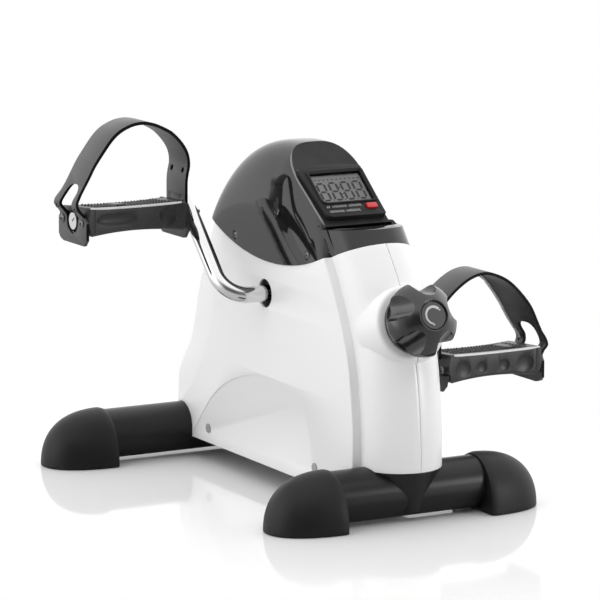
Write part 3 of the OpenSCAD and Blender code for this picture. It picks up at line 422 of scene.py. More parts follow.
def apply_modifiers(obj):
    """Turns the evaluated object into its plain mesh and drops the modifiers."""
    shown = obj.evaluated_get(bpy.context.evaluated_depsgraph_get())
    mesh = bpy.data.meshes.new_from_object(shown)
    obj.modifiers.clear()
    obj.data = mesh


def carve(obj, cutter, operation="DIFFERENCE"):
    """Boolean with another object, which is then removed."""
    change = obj.modifiers.new("carve", "BOOLEAN")
    change.operation = operation
    change.object = cutter
    change.solver = "EXACT"
    apply_modifiers(obj)
    bpy.data.objects.remove(cutter)
    return obj


def soften(obj, width, segments, angle=35):
    """Rounds the sharp edges by a small width in millimetres."""
    tidy(obj, merge=0.02)
    bevel = obj.modifiers.new("round", "BEVEL")
    bevel.width = width * MM
    bevel.segments = segments
    bevel.limit_method = "ANGLE"
    bevel.angle_limit = math.radians(angle)
    bevel.miter_outer = "MITER_ARC"
    apply_modifiers(obj)
    shade(obj)
    return obj


def rounded(corners, steps):
    """Closed outline through corners (x, y, radius), each rounded by an arc of steps parts."""
    line = []
    count = len(corners)
    for i, (x, y, radius) in enumerate(corners):
        here = Vector((x, y))
        back = (Vector(corners[i - 1][:2]) - here).normalized()
        on = (Vector(corners[(i + 1) % count][:2]) - here).normalized()
        half = math.acos(max(-1, min(1, back.dot(on)))) / 2
        reach = radius / math.tan(half) if math.tan(half) > 1e-6 else 0
        middle_way = (back + on).normalized()
        centre = here + middle_way * (radius / math.sin(half))
        start = here + back * reach - centre
        turn = math.pi - 2 * half
        sign = 1 if start.cross(here + on * reach - centre) > 0 else -1
        for k in range(steps + 1):
            angle = sign * turn * k / steps
            c, s = math.cos(angle), math.sin(angle)
            line.append((centre.x + start.x * c - start.y * s, centre.y + start.x * s + start.y * c))
    return line


def ramp(table, z):
    """Smooth curve through the table's (z, value) pairs."""
    if z <= table[0][0]:
        return table[0][1]
    for i in range(len(table) - 1):
        if z <= table[i + 1][0]:
            (z0, a), (z1, b) = table[i], table[i + 1]
            before = table[i - 1] if i else (2 * z0 - z1, 2 * a - b)
            after = table[i + 2] if i + 2 < len(table) else (2 * z1 - z0, 2 * b - a)
            t = (z - z0) / (z1 - z0)
            m0 = (b - before[1]) / (z1 - before[0]) * (z1 - z0)
            m1 = (after[1] - a) / (after[0] - z0) * (z1 - z0)
            return ((2 * t ** 3 - 3 * t * t + 1) * a + (t ** 3 - 2 * t * t + t) * m0
                    + (3 * t * t - 2 * t ** 3) * b + (t ** 3 - t * t) * m1)
    return table[-1][1]


def levels(low, high, step):
    count = max(1, math.ceil((high - low) / step))
    return [low + (high - low) * i / count for i in range(count + 1)]


def circle_ring(radius, n=64, turn=0.0):
    angles = [turn + 2 * math.pi * i / n for i in range(n)]
    return [(radius * math.cos(angle), radius * math.sin(angle)) for angle in angles]


def rod_x(name, radius, x0, x1, y, z, n):
    ring = circle_ring(radius, n)
    return loft(name, [[(x, y + a, z + b) for a, b in ring] for x in (x0, x1)])


def block(name, low, high):
    (x0, y0, z0), (x1, y1, z1) = low, high
    return loft(name, [[(x0, y0, z), (x1, y0, z), (x1, y1, z), (x0, y1, z)] for z in (z0, z1)])


def turned(name, profile, place, material=None, n=96):
    """Body of revolution of (radius, height) points, placed by place(x, y, height)."""
    ring = circle_ring(1.0, n)
    return loft(name, [[place(r * a, r * b, h) for a, b in ring] for r, h in profile], material)


def mirrored(obj, name):
    """A copy on the other side of the middle plane."""
    copy = link(name, obj.data.copy())
    over = Matrix.Translation((MID_X * MM, 0, 0))
    copy.data.transform(over @ Matrix.Scale(-1, 4, (1, 0, 0)) @ over.inverted())
    copy.data.flip_normals()
    shade(copy)
    return copy


def dress(obj, body, slot, *nodes):
    """The piece rides on a body and stands for CAD nodes; slot is not used."""
    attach(obj, body)
    if nodes:
        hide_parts(*nodes)
    return obj


def paint(obj, material):
    """One material on every face of the piece."""
    obj.data.materials.clear()
    obj.data.materials.append(material)
    obj.data.polygons.foreach_set("material_index", [0] * len(obj.data.polygons))
    return obj


def rounded_copy(node, width, material, body, slot, reshape):
    """A node's own shape with its flat faces joined up and its sharp edges rounded.
    reshape is called with the copy before its edges are rounded."""
    source = frame["nodes"][node]
    obj = link(node + "_finished", source.data.copy())
    obj.data.transform(source.matrix_world)
    bm = bmesh.new()
    bm.from_mesh(obj.data)
    bmesh.ops.remove_doubles(bm, verts=bm.verts, dist=0.02 * MM)
    bmesh.ops.dissolve_limit(bm, angle_limit=math.radians(0.8), verts=bm.verts, edges=bm.edges)
    bm.to_mesh(obj.data)
    bm.free()
    reshape(obj)
    soften(obj, width, 3)
    paint(obj, material)
    return dress(obj, body, slot, node)


def joined(name, parts):
    """Several objects of one material as a single piece."""
    bm = bmesh.new()
    for part in parts:
        bm.from_mesh(part.data)
    mesh = bpy.data.meshes.new(name)
    bm.to_mesh(mesh)
    bm.free()
    mesh.materials.append(parts[0].data.materials[0])
    obj = link(name, mesh)
    for part in parts:
        bpy.data.objects.remove(part)
    shade(obj)
    return obj


# ---------------------------------------------------------------- repeated small parts


def repeat_tree():
    """Puts an item on every point, turned by the point's own angles, with a little spread in size."""
    tree = bpy.data.node_groups.new("repeat an item", "GeometryNodeTree")
    for label, kind in (("Points", "Geometry"), ("Item", "Object"), ("Spread", "Float"), ("Seed", "Int"),
                        ("Material", "Material")):
        tree.interface.new_socket(label, in_out="INPUT", socket_type="NodeSocket" + kind)
    tree.interface.new_socket("Pieces", in_out="OUTPUT", socket_type="NodeSocketGeometry")
    given = tree.nodes.new("NodeGroupInput")
    item = add(tree, "GeometryNodeObjectInfo", {"Object": given.outputs["Item"]})
    turn = add(tree, "GeometryNodeInputNamedAttribute", {"Name": "turn"}, data_type="FLOAT_VECTOR")
    small = math_node(tree, "SUBTRACT", 1.0, given.outputs["Spread"])
    large = math_node(tree, "ADD", 1.0, given.outputs["Spread"])
    size = add(tree, "FunctionNodeRandomValue", {2: small, 3: large, "Seed": given.outputs["Seed"]},
               data_type="FLOAT")
    placed = add(tree, "GeometryNodeInstanceOnPoints", {
        "Points": given.outputs["Points"], "Instance": item.outputs["Geometry"], "Rotation": turn.outputs[0],
        "Scale": size.outputs[1]})
    real = add(tree, "GeometryNodeRealizeInstances", {0: placed.outputs[0]})
    dressed = add(tree, "GeometryNodeSetMaterial", {
        "Geometry": real.outputs[0], "Material": given.outputs["Material"]})
    out = tree.nodes.new("NodeGroupOutput")
    tree.links.new(dressed.outputs[0], out.inputs[0])
    return tree


REPEAT = repeat_tree()
SEED = 7


def axes(out, up):
    """Turning matrix whose y looks up and whose z looks out."""
    out = Vector(out).normalized()
    right = Vector(up).cross(out).normalized()
    return Matrix((right, out.cross(right), out)).transposed()


def spun(matrix, degrees):
    return matrix @ Matrix.Rotation(math.radians(degrees), 3, "Z")


def item_of(obj):
    """Draws the object about the origin, ready to be repeated."""
    obj.data.transform(Matrix.Translation(-MIDDLE * MM))
    return obj


def slab(wide, deep, low, high):
    """Flat stroke between two heights, ready to be repeated."""
    return item_of(loft("slab", [[(a * wide, b * deep, h) for a, b in SQUARE] for h in (low, high)]))


def repeat(name, item, places, material, spread=0.0):
    """The item at each (point, turning matrix); the item itself is dropped."""
    mesh = bpy.data.meshes.new(name)
    mesh.from_pydata([tuple((Vector(point) + MIDDLE) * MM) for point, _ in places], [], [])
    turn = mesh.attributes.new("turn", "FLOAT_VECTOR", "POINT")
    for value, (_, matrix) in zip(turn.data, places):
        value.vector = matrix.to_euler()
    obj = link(name, mesh)
    change = obj.modifiers.new("repeat", "NODES")
    change.node_group = REPEAT
    socket = {entry.name: entry.identifier for entry in REPEAT.interface.items_tree}
    for label, value in (("Item", item), ("Spread", spread), ("Seed", SEED), ("Material", material)):
        change[socket[label]] = value
    apply_modifiers(obj)
    bpy.data.objects.remove(item)
    paint(obj, material)
    shade(obj)
    return obj


def flat(x, y, h):
    return Vector((x, y, h))


def screw_item(head, high, shank, long):
    """Cross-headed screw along z, with the underside of its head at zero."""
    profile = [(0.01, -long), (shank, -long), (shank, 0.0), (head * 0.94, 0.0), (head, 0.3 * high),
               (head * 0.8, 0.8 * high), (head * 0.4, high), (0.01, high)]
    item = turned("screw", profile, flat, n=16)
    for wide, deep in ((0.16, 0.62), (0.62, 0.16)):
        carve(item, loft("cross", [[(a * wide * size, b * deep * size, h) for a, b in SQUARE]
                                   for h, size in ((0.2 * high, 0.7 * head), (1.4 * high, 1.1 * head))]))
    return item_of(item)


# ---------------------------------------------------------------- body shells

COLUMN_HALF = 40
COLUMN_LOW = 49.5
SHELL_TOP = 264
# (height, y) of the column's front, the panels' front, the rear and the two ends of the side crease
COLUMN_LINE = [(COLUMN_LOW, -216), (75, -216), (117, -212), (153, -205), (186, -192), (219, -177), (240, -162.5),
               (268, -140.5)]
PANEL_LINE = [(20, -171), (52, -172.5), (81, -173), (111, -170), (150, -163), (181, -151), (218, -132),
              (241, -117), (264, -98)]
REAR_LINE = [(20, 204), (50, 204), (81, 202), (97, 193), (116, 178), (132, 170), (168, 159), (197, 147),
             (246, 122), (264, 112)]
CREASE_OUTER = [(20, 168), (40, 143), (64, 119), (89, 95), (171, 68), (228, 59), (264, 56)]
CREASE_INNER = [(20, 192), (50, 184), (78, 156), (120, 127), (179, 106), (223, 94), (264, 86)]
SKIRT_Z = 20
SEAM = 0.35
# The shells and the cover part along an arc seen from the side
PARTING_R = 294
PARTING_Y = -12
PARTING_Z = 223
CRANK_HOLE_R = 14
PLUG_HOLE_R = 4.6
FIELD_SUNK = 0.7


def column_ring(z, t, steps=40):
    """D-shaped level outline of the front column, drawn in by t."""
    radius = COLUMN_HALF - t
    y = ramp(COLUMN_LINE, z) + COLUMN_HALF
    turns = levels(math.pi, 2 * math.pi, math.pi / steps)
    arc = [(radius * math.cos(a), y + radius * math.sin(a), z) for a in turns]
    return [(-radius, -60, z)] + arc + [(radius, -60, z)]


def panel_ring(z, t):
    """Level outline of the side panels and the rear, drawn in by t."""
    half = SIDE_HALF - t
    front = ramp(PANEL_LINE, z) + t
    rear = ramp(REAR_LINE, z) - t
    outer = ramp(CREASE_OUTER, z)
    inner = ramp(CREASE_INNER, z)
    side = [(half, front, 1.6), (half, outer, 12), (half - 1.6, inner, 8), (half - 6.0, rear, 11.0 - t / 2)]
    other = [(-x, y, r) for x, y, r in reversed(side)]
    return [(x, y, z) for x, y in rounded(side + other, 5)]


def over_parting(gap):
    return rod_x("over parting", PARTING_R + gap, -REACH, REACH, PARTING_Y, PARTING_Z + PARTING_R, 720)


# (radius, height) of the knob's collar
COLLAR = [(0.01, 12.0), (33.0, 12.0), (34.8, 11.6), (36.2, 10.6), (37.0, 9.0), (37.5, 4.0), (37.9, -3.0),
          (38.5, -9.0), (39.4, -14.0), (40.2, -18.0), (40.2, -24.0), (0.01, -24.0)]
COLLAR_INSIDE = [(0.01, 8.5), (31.0, 8.5), (31.0, -40.0), (0.01, -40.0)]
# (y, height) of the arch line on a side panel, and (height, half width) of the hand grip
ARCH = [(-152, 12), (-137, 42), (-112, 71), (-73, 96), (-22, 108), (25, 106), (71, 93), (110, 71), (132, 50),
        (152, 27), (160, 12)]
GRIP = [(118, 20), (121, 27), (126, 31), (160, 31), (190, 29), (197, 24), (200, 17)]
GRIP_DEEP = 9


def body_solid(t):
    panel = loft("panel", [panel_ring(z, t) for z in levels(SKIRT_Z, SHELL_TOP, 4)])
    column = loft("column", [column_ring(z, t) for z in levels(COLUMN_LOW, 268, 5)])
    return carve(panel, column, "UNION")


def grip_solid(t):
    """Hollow for the hand at the rear, grown by t."""
    rings = []
    for z, w in GRIP:
        z += -t if z < 126 else t if z > 190 else 0
        line = rounded([(-w - t, 8, 1), (w + t, 8, 1), (w + t - 3, -GRIP_DEEP - t, 4),
                        (3 - w - t, -GRIP_DEEP - t, 4)], 4)
        rings.append([(x, ramp(REAR_LINE, z) + out, z) for x, out in line])
    return loft("grip", rings)


def blend_collar(shell):
    """Shades the line where the collar runs out into the column as one surface."""
    points = shell.data.vertices
    root = KNOB_ROOT + MIDDLE
    for edge in shell.data.edges:
        first, last = edge.vertices
        arm = (points[first].co + points[last].co) / 2 / MM - root
        out = arm.dot(KNOB_OUT)
        if -60 < out < -3 and 37 < (arm - KNOB_OUT * out).length < 62 and arm.x < 6:
            edge.use_edge_sharp = False


def make_shells():
    shell = body_solid(0)
    carve(shell, turned("collar", COLLAR, at_knob), "UNION")
    carve(shell, grip_solid(0))
    # Field inside the arch, a little lower than the panel around it
    line = [(y, ramp(ARCH, y)) for y in levels(ARCH[0][0], ARCH[-1][0], 4)]
    line += [(ARCH[-1][0], 0), (ARCH[0][0], 0)]
    carve(shell, loft("field", [[(x, y, z) for y, z in line] for x in (SIDE_HALF - FIELD_SUNK, SIDE_HALF + 5)]))
    carve(shell, carve(body_solid(WALL), grip_solid(WALL)))
    carve(shell, turned("collar inside", COLLAR_INSIDE, at_knob))
    carve(shell, over_parting(PART_GAP / 2))
    for y in (FRONT_Y, REAR_Y):
        carve(shell, rod_x("saddle", TUBE_R + PART_GAP, -REACH, REACH, y, TUBE_RISE, 128))
    carve(shell, rod_x("crank hole", CRANK_HOLE_R, -REACH, REACH, 0, AXLE_Z, 96))
    for plug in PLUGS:
        carve(shell, rod_x("plug hole", PLUG_HOLE_R, 40, 60, *plug, 48))
    carve(shell, block("other half", (-200, -400, -50), (SEAM, 400, 400)))
    soften(shell, 0.45, 2, 38)
    blend_collar(shell)
    paint(shell, white_plastic)
    shell.name = "right_shell_skin"
    dress(mirrored(shell, "left_shell_skin"), "base", "white_shell", "left_shell")
    dress(shell, "base", "white_shell", "right_shell")


PLUGS_Y = middle("right_plugs").y - MID_Y
PLUGS = [(PLUGS_Y - 110, 37), (PLUGS_Y + 110, 35)]

make_shells()

# ---------------------------------------------------------------- top cover

DOME_Z = 229.9
DOME_TOP = 338
DOME_Y = 2.8
DOME_LEN = 116
DOME_HALF = 49.9
COVER_LOW = 212
COVER_SCREWS = [(60, 240), (-85, 240)]
DIMPLE_X = 48.5
DIMPLE_Y = -23
DIMPLE_Z = 280
DIMPLE_R = 30.0
# Half sizes of the matte dent that the dimple leaves
DENT_Y = 4.9
DENT_Z = 7.8
DOME_ALONG = 2.21
# (y, power) of the curve across the dome, and the share of it on the right side
DOME_POWER = [(-114, 1.7), (-98, 1.735), (-84.7, 1.81), (-63.7, 2.218), (-43.4, 2.934), (-30, 3.2), (-10, 3.14)]
RIGHT_SHARE = [(-114, 0.95), (-90, 0.92), (-64, 0.82), (-43, 0.82), (-30, 0.86), (-10, 0.95), (10, 1.0)]


def dome_height(x, y, t):
    """The dome is rounder across at its front than at its middle, and rounder on its right."""
    power = ramp(DOME_POWER, y) * (ramp(RIGHT_SHARE, y) if x > 0 else 1)
    fy = max(0, 1 - abs((y - DOME_Y) / (DOME_LEN - t)) ** DOME_ALONG) ** (1 / DOME_ALONG)
    fx = max(0, 1 - abs(x / (DOME_HALF - t)) ** power) ** (1 / power)
    return DOME_Z + (DOME_TOP - t - DOME_Z) * fy * fx


def dome_solid(t, across=72, along=110):
    """Crowned block, closer meshed near its rim."""
    rings = []
    half = DOME_HALF - t
    for j in range(along + 1):
        y = DOME_Y - (DOME_LEN - t) * math.cos(math.pi * j / along)
        top = [-half * math.cos(math.pi * i / across) for i in range(across + 1)]
        rings.append([(-half, y, COVER_LOW)] + [(x, y, dome_height(x, y, t)) for x in top] + [(half, y, COVER_LOW)])
    return loft("dome", rings)


def face_cutter(t):
    """Everything in front of the display face and over the ledge before it."""
    line = [at_face(0, 0, -t), at_face(0, 240, -t), at_face(0, 240, 160), Vector((0, -300, 420)),
            Vector((0, -300, LEDGE_Z + 16 - t)), Vector((0, LIP.y + t, LEDGE_Z - t))]
    return loft("face cutter", [[(x, p.y, p.z) for p in line] for x in (-REACH, REACH)])


def dimple(side):
    """Shallow oval dent on a side of the dome."""
    rings = []
    for k in range(1, 12):
        a = math.pi * k / 12
        x = side * (DIMPLE_X + DIMPLE_R * (1 - math.cos(a)) - 1)
        size = DIMPLE_R * math.sin(a)
        rings.append([(x, DIMPLE_Y + 0.62 * size * p, DIMPLE_Z + size * q) for p, q in circle_ring(1.0, 40)])
    return loft("dimple", rings)


def face_edge(s):
    """Half width of the face at a height on its slope."""
    spot = at_face(0, s, 0)
    low, high = 0.0, DOME_HALF
    for _ in range(24):
        x = (low + high) / 2
        low, high = (x, high) if dome_height(-x, spot.y, 0) > spot.z else (low, x)
    return low


def make_cover():
    cover = dome_solid(0)
    rings = [column_ring(z, 0) for z in levels(COVER_LOW, LEDGE_Z - 5, 5)]
    rings += [column_ring(LEDGE_Z + z, t) for z, t in ((1.4, 0.0), (2.4, 0.25), (3.1, 0.8), (3.5, 1.6), (3.6, 2.6))]
    carve(cover, loft("band", rings), "UNION")
    carve(cover, face_cutter(0))
    # Slit under the lip of the face
    slit = [(-36, -6), (36, -6), (36, 3), (18, 6.5), (0, 7.5), (-18, 6.5), (-36, 3)]
    carve(cover, loft("slit", [[(x, LIP.y + y, LEDGE_Z + z) for x, y in slit] for z in (-1.8, 2.0)]))
    inside = dome_solid(WALL, 40, 60)
    rings = [column_ring(z, WALL, 24) for z in levels(COVER_LOW, LEDGE_Z - WALL, 8)]
    carve(inside, loft("band inside", rings), "UNION")
    carve(inside, face_cutter(WALL + 1.5))
    carve(cover, inside)
    carve(cover, over_parting(-PART_GAP / 2), "INTERSECT")
    # Opening for the display housing
    carve(cover, plate("display hole", ((-28, 15), (29, 15), (29, 67), (-31, 67)), -14, 10))
    for side in (-1, 1):
        for y, z in COVER_SCREWS:
            carve(cover, rod_x("screw seat", 4.4, side * 48.4, side * 60, y, z, 40))
    carve(cover, dimple(-1))
    carve(cover, dimple(1))
    soften(cover, 0.5, 2, 38)
    paint(cover, gloss_black)
    cover.data.materials.append(matte_black)
    # The face and the dents are matte
    for polygon in cover.data.polygons:
        spot = polygon.center / MM - MIDDLE
        dent = abs(spot.x) > 44 and ((spot.y - DIMPLE_Y) / DENT_Y) ** 2 + ((spot.z - DIMPLE_Z) / DENT_Z) ** 2 < 1
        on_face = polygon.normal.dot(FACE_OUT) > 0.995 and abs((spot - LIP).dot(FACE_OUT)) < 0.3
        if dent or on_face:
            polygon.material_index = 1
    cover.name = "top_cover_skin"
    dress(cover, "base", "gloss_black", "top_cover")
    # Fine bead along the left edge of the face, light grey as a painted highlight on the black cover
    outline = ((-0.5, -0.6), (-0.3, 0.35), (0.3, 0.7), (0.9, 0.5), (1.2, -0.4))
    bead = []
    for s in levels(3, 103, 3):
        size = min(1, (s - 1) / 6, (105 - s) / 12)
        bead.append([at_face(-face_edge(s) + a * size, s, n * size) for a, n in outline])
    dress(loft("face_rim", bead, rim_highlight_grey, 50), "base", "gloss_black")


make_cover()

# ---------------------------------------------------------------- display

BUTTON = [(14.4, 15.4), (26.2, 15.4), (26.2, 22), (14.4, 22)]
WINDOW_HALF = 27.5
WINDOW_LOW = 28
WINDOW_HIGH = 65.4
HOUSING_OUT = 5.6
PANEL_OUT = 2.0


def window_line(grow, corner):
    """Outline of the window, with a rounder corner at its lower left."""
    left, right = -WINDOW_HALF - grow, WINDOW_HALF - 0.5 + grow
    low, high = WINDOW_LOW - grow, WINDOW_HIGH + grow
    return rounded([(left, low, corner + 3.5), (right, low, corner), (right, high, corner), (left, high, corner)], 5)


def make_display():
    outline = rounded([(-31, 8.6, 7), (32, 7.9, 1.8), (31, 73, 3), (17.5, 75.4, 16), (-3, 76.6, 20),
                       (-23, 75.4, 16), (-37, 73, 3)], 5)
    housing = plate("housing", outline, -13, HOUSING_OUT)
    carve(housing, plate("frame", window_line(3.4, 3.5), 3, 7.2), "UNION")
    # The frame slopes down to the window, and the window is sunk
    carve(housing, loft("sink", [[at_face(x, s, n) for x, s in window_line(grow, 2)]
                                 for n, grow in ((1.6, 0), (5.0, 0.1), (9, 3.4))]))
    carve(housing, plate("notch", [(-44, 33), (-34.6, 33), (-35, 38), (-44, 38)], -3, 9))
    carve(housing, plate("button way", rounded([(x, s, 1.6) for x, s in BUTTON], 3), 3, 9))
    soften(housing, 0.45, 2, 32)
    paint(housing, matte_black)
    housing.data.materials.append(painted_shade_black)
    # Painted shade: the lower walls of the window get the flat shade black
    for polygon in housing.data.polygons:
        place = polygon.center / MM - MIDDLE - LIP
        across = abs(place.x) < WINDOW_HALF + 0.7
        along = WINDOW_LOW - 0.8 < place.dot(FACE_UP) < WINDOW_HIGH + 0.8
        if across and along and place.dot(FACE_OUT) < 5.2 and abs(polygon.normal.dot(FACE_OUT)) < 0.7:
            polygon.material_index = 1
    dress(housing, "base", "black_plastic", "display_housing")
    # Raised bead over the arched top, a lighter grey than the cover's black as a painted highlight
    outline = ((0, -0.6), (0, 0.7), (0.5, 1.1), (1.3, 0.9), (1.7, -0.6))
    arch = [(x, 78.6 - 5.0 * ((x + 3) / 35) ** 2) for x in levels(-36, 31, 3)]
    bead = loft("face_bead", [[at_face(x, s + a, n) for a, n in outline] for x, s in arch], rim_highlight_black, 40)
    dress(bead, "base", "gloss_black")
    panel = plate("display_panel", window_line(-0.1, 2), -1.2, PANEL_OUT, lcd_glass)
    dress(panel, "base", "lcd_grey", "lcd_panel")
    lens = plate("window_pane", window_line(-0.05, 2), PANEL_OUT + 0.6, PANEL_OUT + 1.4, lens_clear)
    dress(lens, "base", "clear_lens", "display_lens")
    outline = rounded([(x * 0.95 + 1.05, s * 0.95 + 1.0, 1.4) for x, s in BUTTON], 4)
    button = soften(plate("reset_button", outline, -2, HOUSING_OUT + 2), 0.8, 4)
    button.name = "button_cap"
    dress(paint(button, button_red), "button", "button_red", "reset_button")


def make_segments():
    """Four digits of seven segments, with the points between them."""
    tall, wide, foot, out = 11.0, 8.0, 32.9, PANEL_OUT + 0.05
    bar = [(-0.5, 0), (-0.38, 1.1), (0.38, 1.1), (0.5, 0), (0.38, -1.1), (-0.38, -1.1)]
    flat_axes = axes(FACE_OUT, FACE_UP)
    spots = {"long": [], "short": []}
    for start in (-23.9, -10.95, 2.0, 14.95):
        for row in (0, 1):
            for side in (0, 1):
                spot = at_face(start + side * wide, foot + tall * (row + 0.5), out)
                spots["long"].append((spot, spun(flat_axes, 90)))
        for row in (0, 1, 2):
            spots["short"].append((at_face(start + wide / 2, foot + tall * row, out), flat_axes))
    pieces = []
    for label, length in (("long", tall - 1.6), ("short", wide - 1.6)):
        ring = [(x * length, y) for x, y in bar]
        item = item_of(loft("segment", [[(x, y, h) for x, y in ring] for h in (-0.1, 0.12)]))
        pieces.append(repeat("segments " + label, item, spots[label], lcd_ink))
    dots = [(-0.6, 40), (-0.6, 49), (-13.4, 33), (-0.5, 33), (12.5, 33)] + [(x, 59.5) for x in levels(-23, 24, 5.2)]
    item = item_of(loft("mark", [[(x, y, h) for x, y in circle_ring(0.85, 8, 0.39)] for h in (-0.1, 0.12)]))
    pieces.append(repeat("marks", item, [(at_face(x, s, out), flat_axes) for x, s in dots], lcd_ink))
    dress(joined("display_segments", pieces), "base", "lcd_grey")


def make_lettering():
    """Two rows of plain strokes where the functions of the display are named."""
    flat_axes = axes(FACE_OUT, FACE_UP)
    strokes = {"bar": [], "tie": []}
    for row, s, first, last in ((0, 21.4, -27, 9), (1, 15.2, -26, 5.5)):
        for k, x in enumerate(levels(first, last, 2.05)):
            if (k * 7 + row * 3) % 9 == 5:
                continue
            lean = (k * 37 + row * 11) % 24 - 12
            up = ((k * 5 + row) % 3 - 1) * 1.1
            strokes["bar"].append((at_face(x, s, HOUSING_OUT + 0.05), spun(flat_axes, lean)))
            strokes["tie"].append((at_face(x + 0.5, s + up, HOUSING_OUT + 0.06), flat_axes))
    pieces = [repeat("strokes " + label, slab(wide, deep, -0.08, 0.06), strokes[label], white_ink, 0.12)
              for label, wide, deep in (("bar", 0.2, 1.3), ("tie", 0.5, 0.18))]
    dress(joined("display_lettering", pieces), "base", "grey_plastic")


make_display()
make_segments()
make_lettering()

# ---------------------------------------------------------------- tension knob

KNOB_FOOT = 13
KNOB_TALL = 39.5
KNOB_SCOOPS = 5
FIRST_SCOOP = 13
SCOOP_R = 13.5
SCOOP_AT = 41.0
SCOOP_LEAN = math.tan(math.radians(14))
ARC_FIRST = 44
ARC_LAST = 256
ARC_IN = 7.0
INK_LOW = -0.05
INK_HIGH = 0.1
# (radius, height) of the knob
KNOB_PROFILE = [(0.01, 0), (28.6, 0), (29.6, 1.0), (29.9, 4.6), (29.2, 5.4), (30.6, 6.4), (32.6, 9.0), (34.4, 12.5),
                (35.4, 17.0), (35.3, 20.5), (34.0, 24.5), (30.4, 29.5), (25.6, 34.0), (20.8, 38.0), (17.0, 40.8),
                (15.0, 42.0), (13.8, 41.6), (13.6, 39.4), (0.01, 39.4)]


def polar(radius, degrees):
    return radius * math.cos(math.radians(degrees)), radius * math.sin(math.radians(degrees))


def make_knob():
    knob = turned("knob_body", [(r, KNOB_FOOT + h) for r, h in KNOB_PROFILE], at_knob, n=160)
    for k in range(KNOB_SCOOPS):
        angle = FIRST_SCOOP + 360 / KNOB_SCOOPS * k
        rings = []
        for h in levels(KNOB_FOOT + 6, KNOB_FOOT + 50, 11):
            x, y = polar(SCOOP_AT - SCOOP_LEAN * (h - KNOB_FOOT - 6), angle)
            rings.append([at_knob(x + a, y + b, h) for a, b in circle_ring(SCOOP_R)])
        carve(knob, loft("scoop", rings))
    soften(knob, 1.3, 4, 30)
    dress(paint(knob, knob_black), "knob", "black_plastic", "tension_knob")
    top = KNOB_FOOT + KNOB_TALL
    disc = turned("knob_disc", [(0.01, top), (12.3, top), (12.8, top + 0.3), (12.9, top + 1.4), (12.5, top + 1.9),
                                (0.01, top + 2.0)], at_knob, knob_grey)
    dress(disc, "knob", "knob_grey", "knob_cap")
    # Tapering arc with a finely notched outer edge and a square mark at its wide end
    face = top + 2.0
    knob_axes = axes(KNOB_OUT, KNOB_UP)
    arc = []
    for a in levels(ARC_FIRST, ARC_LAST, 4):
        outer = 9.4 - 1.2 * (a - ARC_FIRST) / (ARC_LAST - ARC_FIRST)
        arc.append([at_knob(*polar(r, a), face + h) for r, h in
                    ((ARC_IN, INK_LOW), (outer, INK_LOW), (outer, INK_HIGH), (ARC_IN, INK_HIGH))])
    notches = [(at_knob(*polar(9.6 - 1.3 * (a - ARC_FIRST) / (ARC_LAST - ARC_FIRST), a), face),
                spun(knob_axes, a - 90)) for a in levels(ARC_FIRST + 2, ARC_LAST, 7)]
    ends = [(at_knob(*polar(8.6, a), face), spun(knob_axes, a)) for a in (34, 263)]
    pieces = [loft("arc", arc, white_ink),
              repeat("notches", slab(0.2, 0.34, INK_LOW, INK_HIGH), notches, white_ink),
              repeat("end marks", slab(0.75, 0.75, INK_LOW, INK_HIGH), ends, white_ink)]
    dress(joined("knob_arc", pieces), "knob", "grey_plastic")


make_knob()

# ---------------------------------------------------------------- pedals

PEDAL_MID = 157.2
PEDAL_HALF = 52.5
PEDAL_DEEP = 62
PEDAL_LOW = -13.2
PEDAL_TOP = 15.8
WAIST = 3.5
REAR_DROP = 4.3
GROOVE_X = 46
PAD_HALF = 20
PAD_LONG = 42
STUD_STEP = 3.4
CLEAT_X = {-1: 11.7, 1: 26}
EDGE_SCREW = 21.5
BUSH_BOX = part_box("left_bushes")
BUSH_R = (BUSH_BOX[1].z - BUSH_BOX[0].z) / 2 / MM
# (place, height, half width, half height) of the hollows in the front, by side
SCOOPS = {-1: [(18, 3, 21, 6.5), (-31.5, 1.5, 9, 9.5)],
          1: [(33, 0, 9.5, 9), (11, 0, 6.5, 6.5), (-14, 0, 6.5, 6.5), (-34.5, 0, 9, 9)]}
SIDES = {"left": -1, "right": 1}
HUBS = {side: Vector(joints[name + "_pedal_spin"]["pos_m"]) / MM - MIDDLE for name, side in SIDES.items()}


def at_pedal(side, x, f, z):
    """Point x outboard of the crank's middle, f to the front of the spindle and z above it."""
    return Vector((side * x - MID_X, HUBS[side].y - f, HUBS[side].z + z))


def pedal_prism(name, side, outline, xs, material=None):
    """Solid of an outline of (f, z) points between places along the pedal."""
    return loft(name, [[at_pedal(side, x, f, z) for f, z in outline] for x in xs], material)


def waist_at(x):
    return WAIST * (1 - min(1, (x / PEDAL_HALF) ** 2))


def top_at(x):
    """Height of the front top edge, which sags towards the middle."""
    return PEDAL_TOP - 0.43 * waist_at(x)


def on_pad(side, x, f, h):
    """Point h over the pedal's sloping top."""
    return at_pedal(side, PEDAL_MID + x, f, top_at(x) - REAR_DROP / 2 + f * REAR_DROP / PEDAL_DEEP + h)


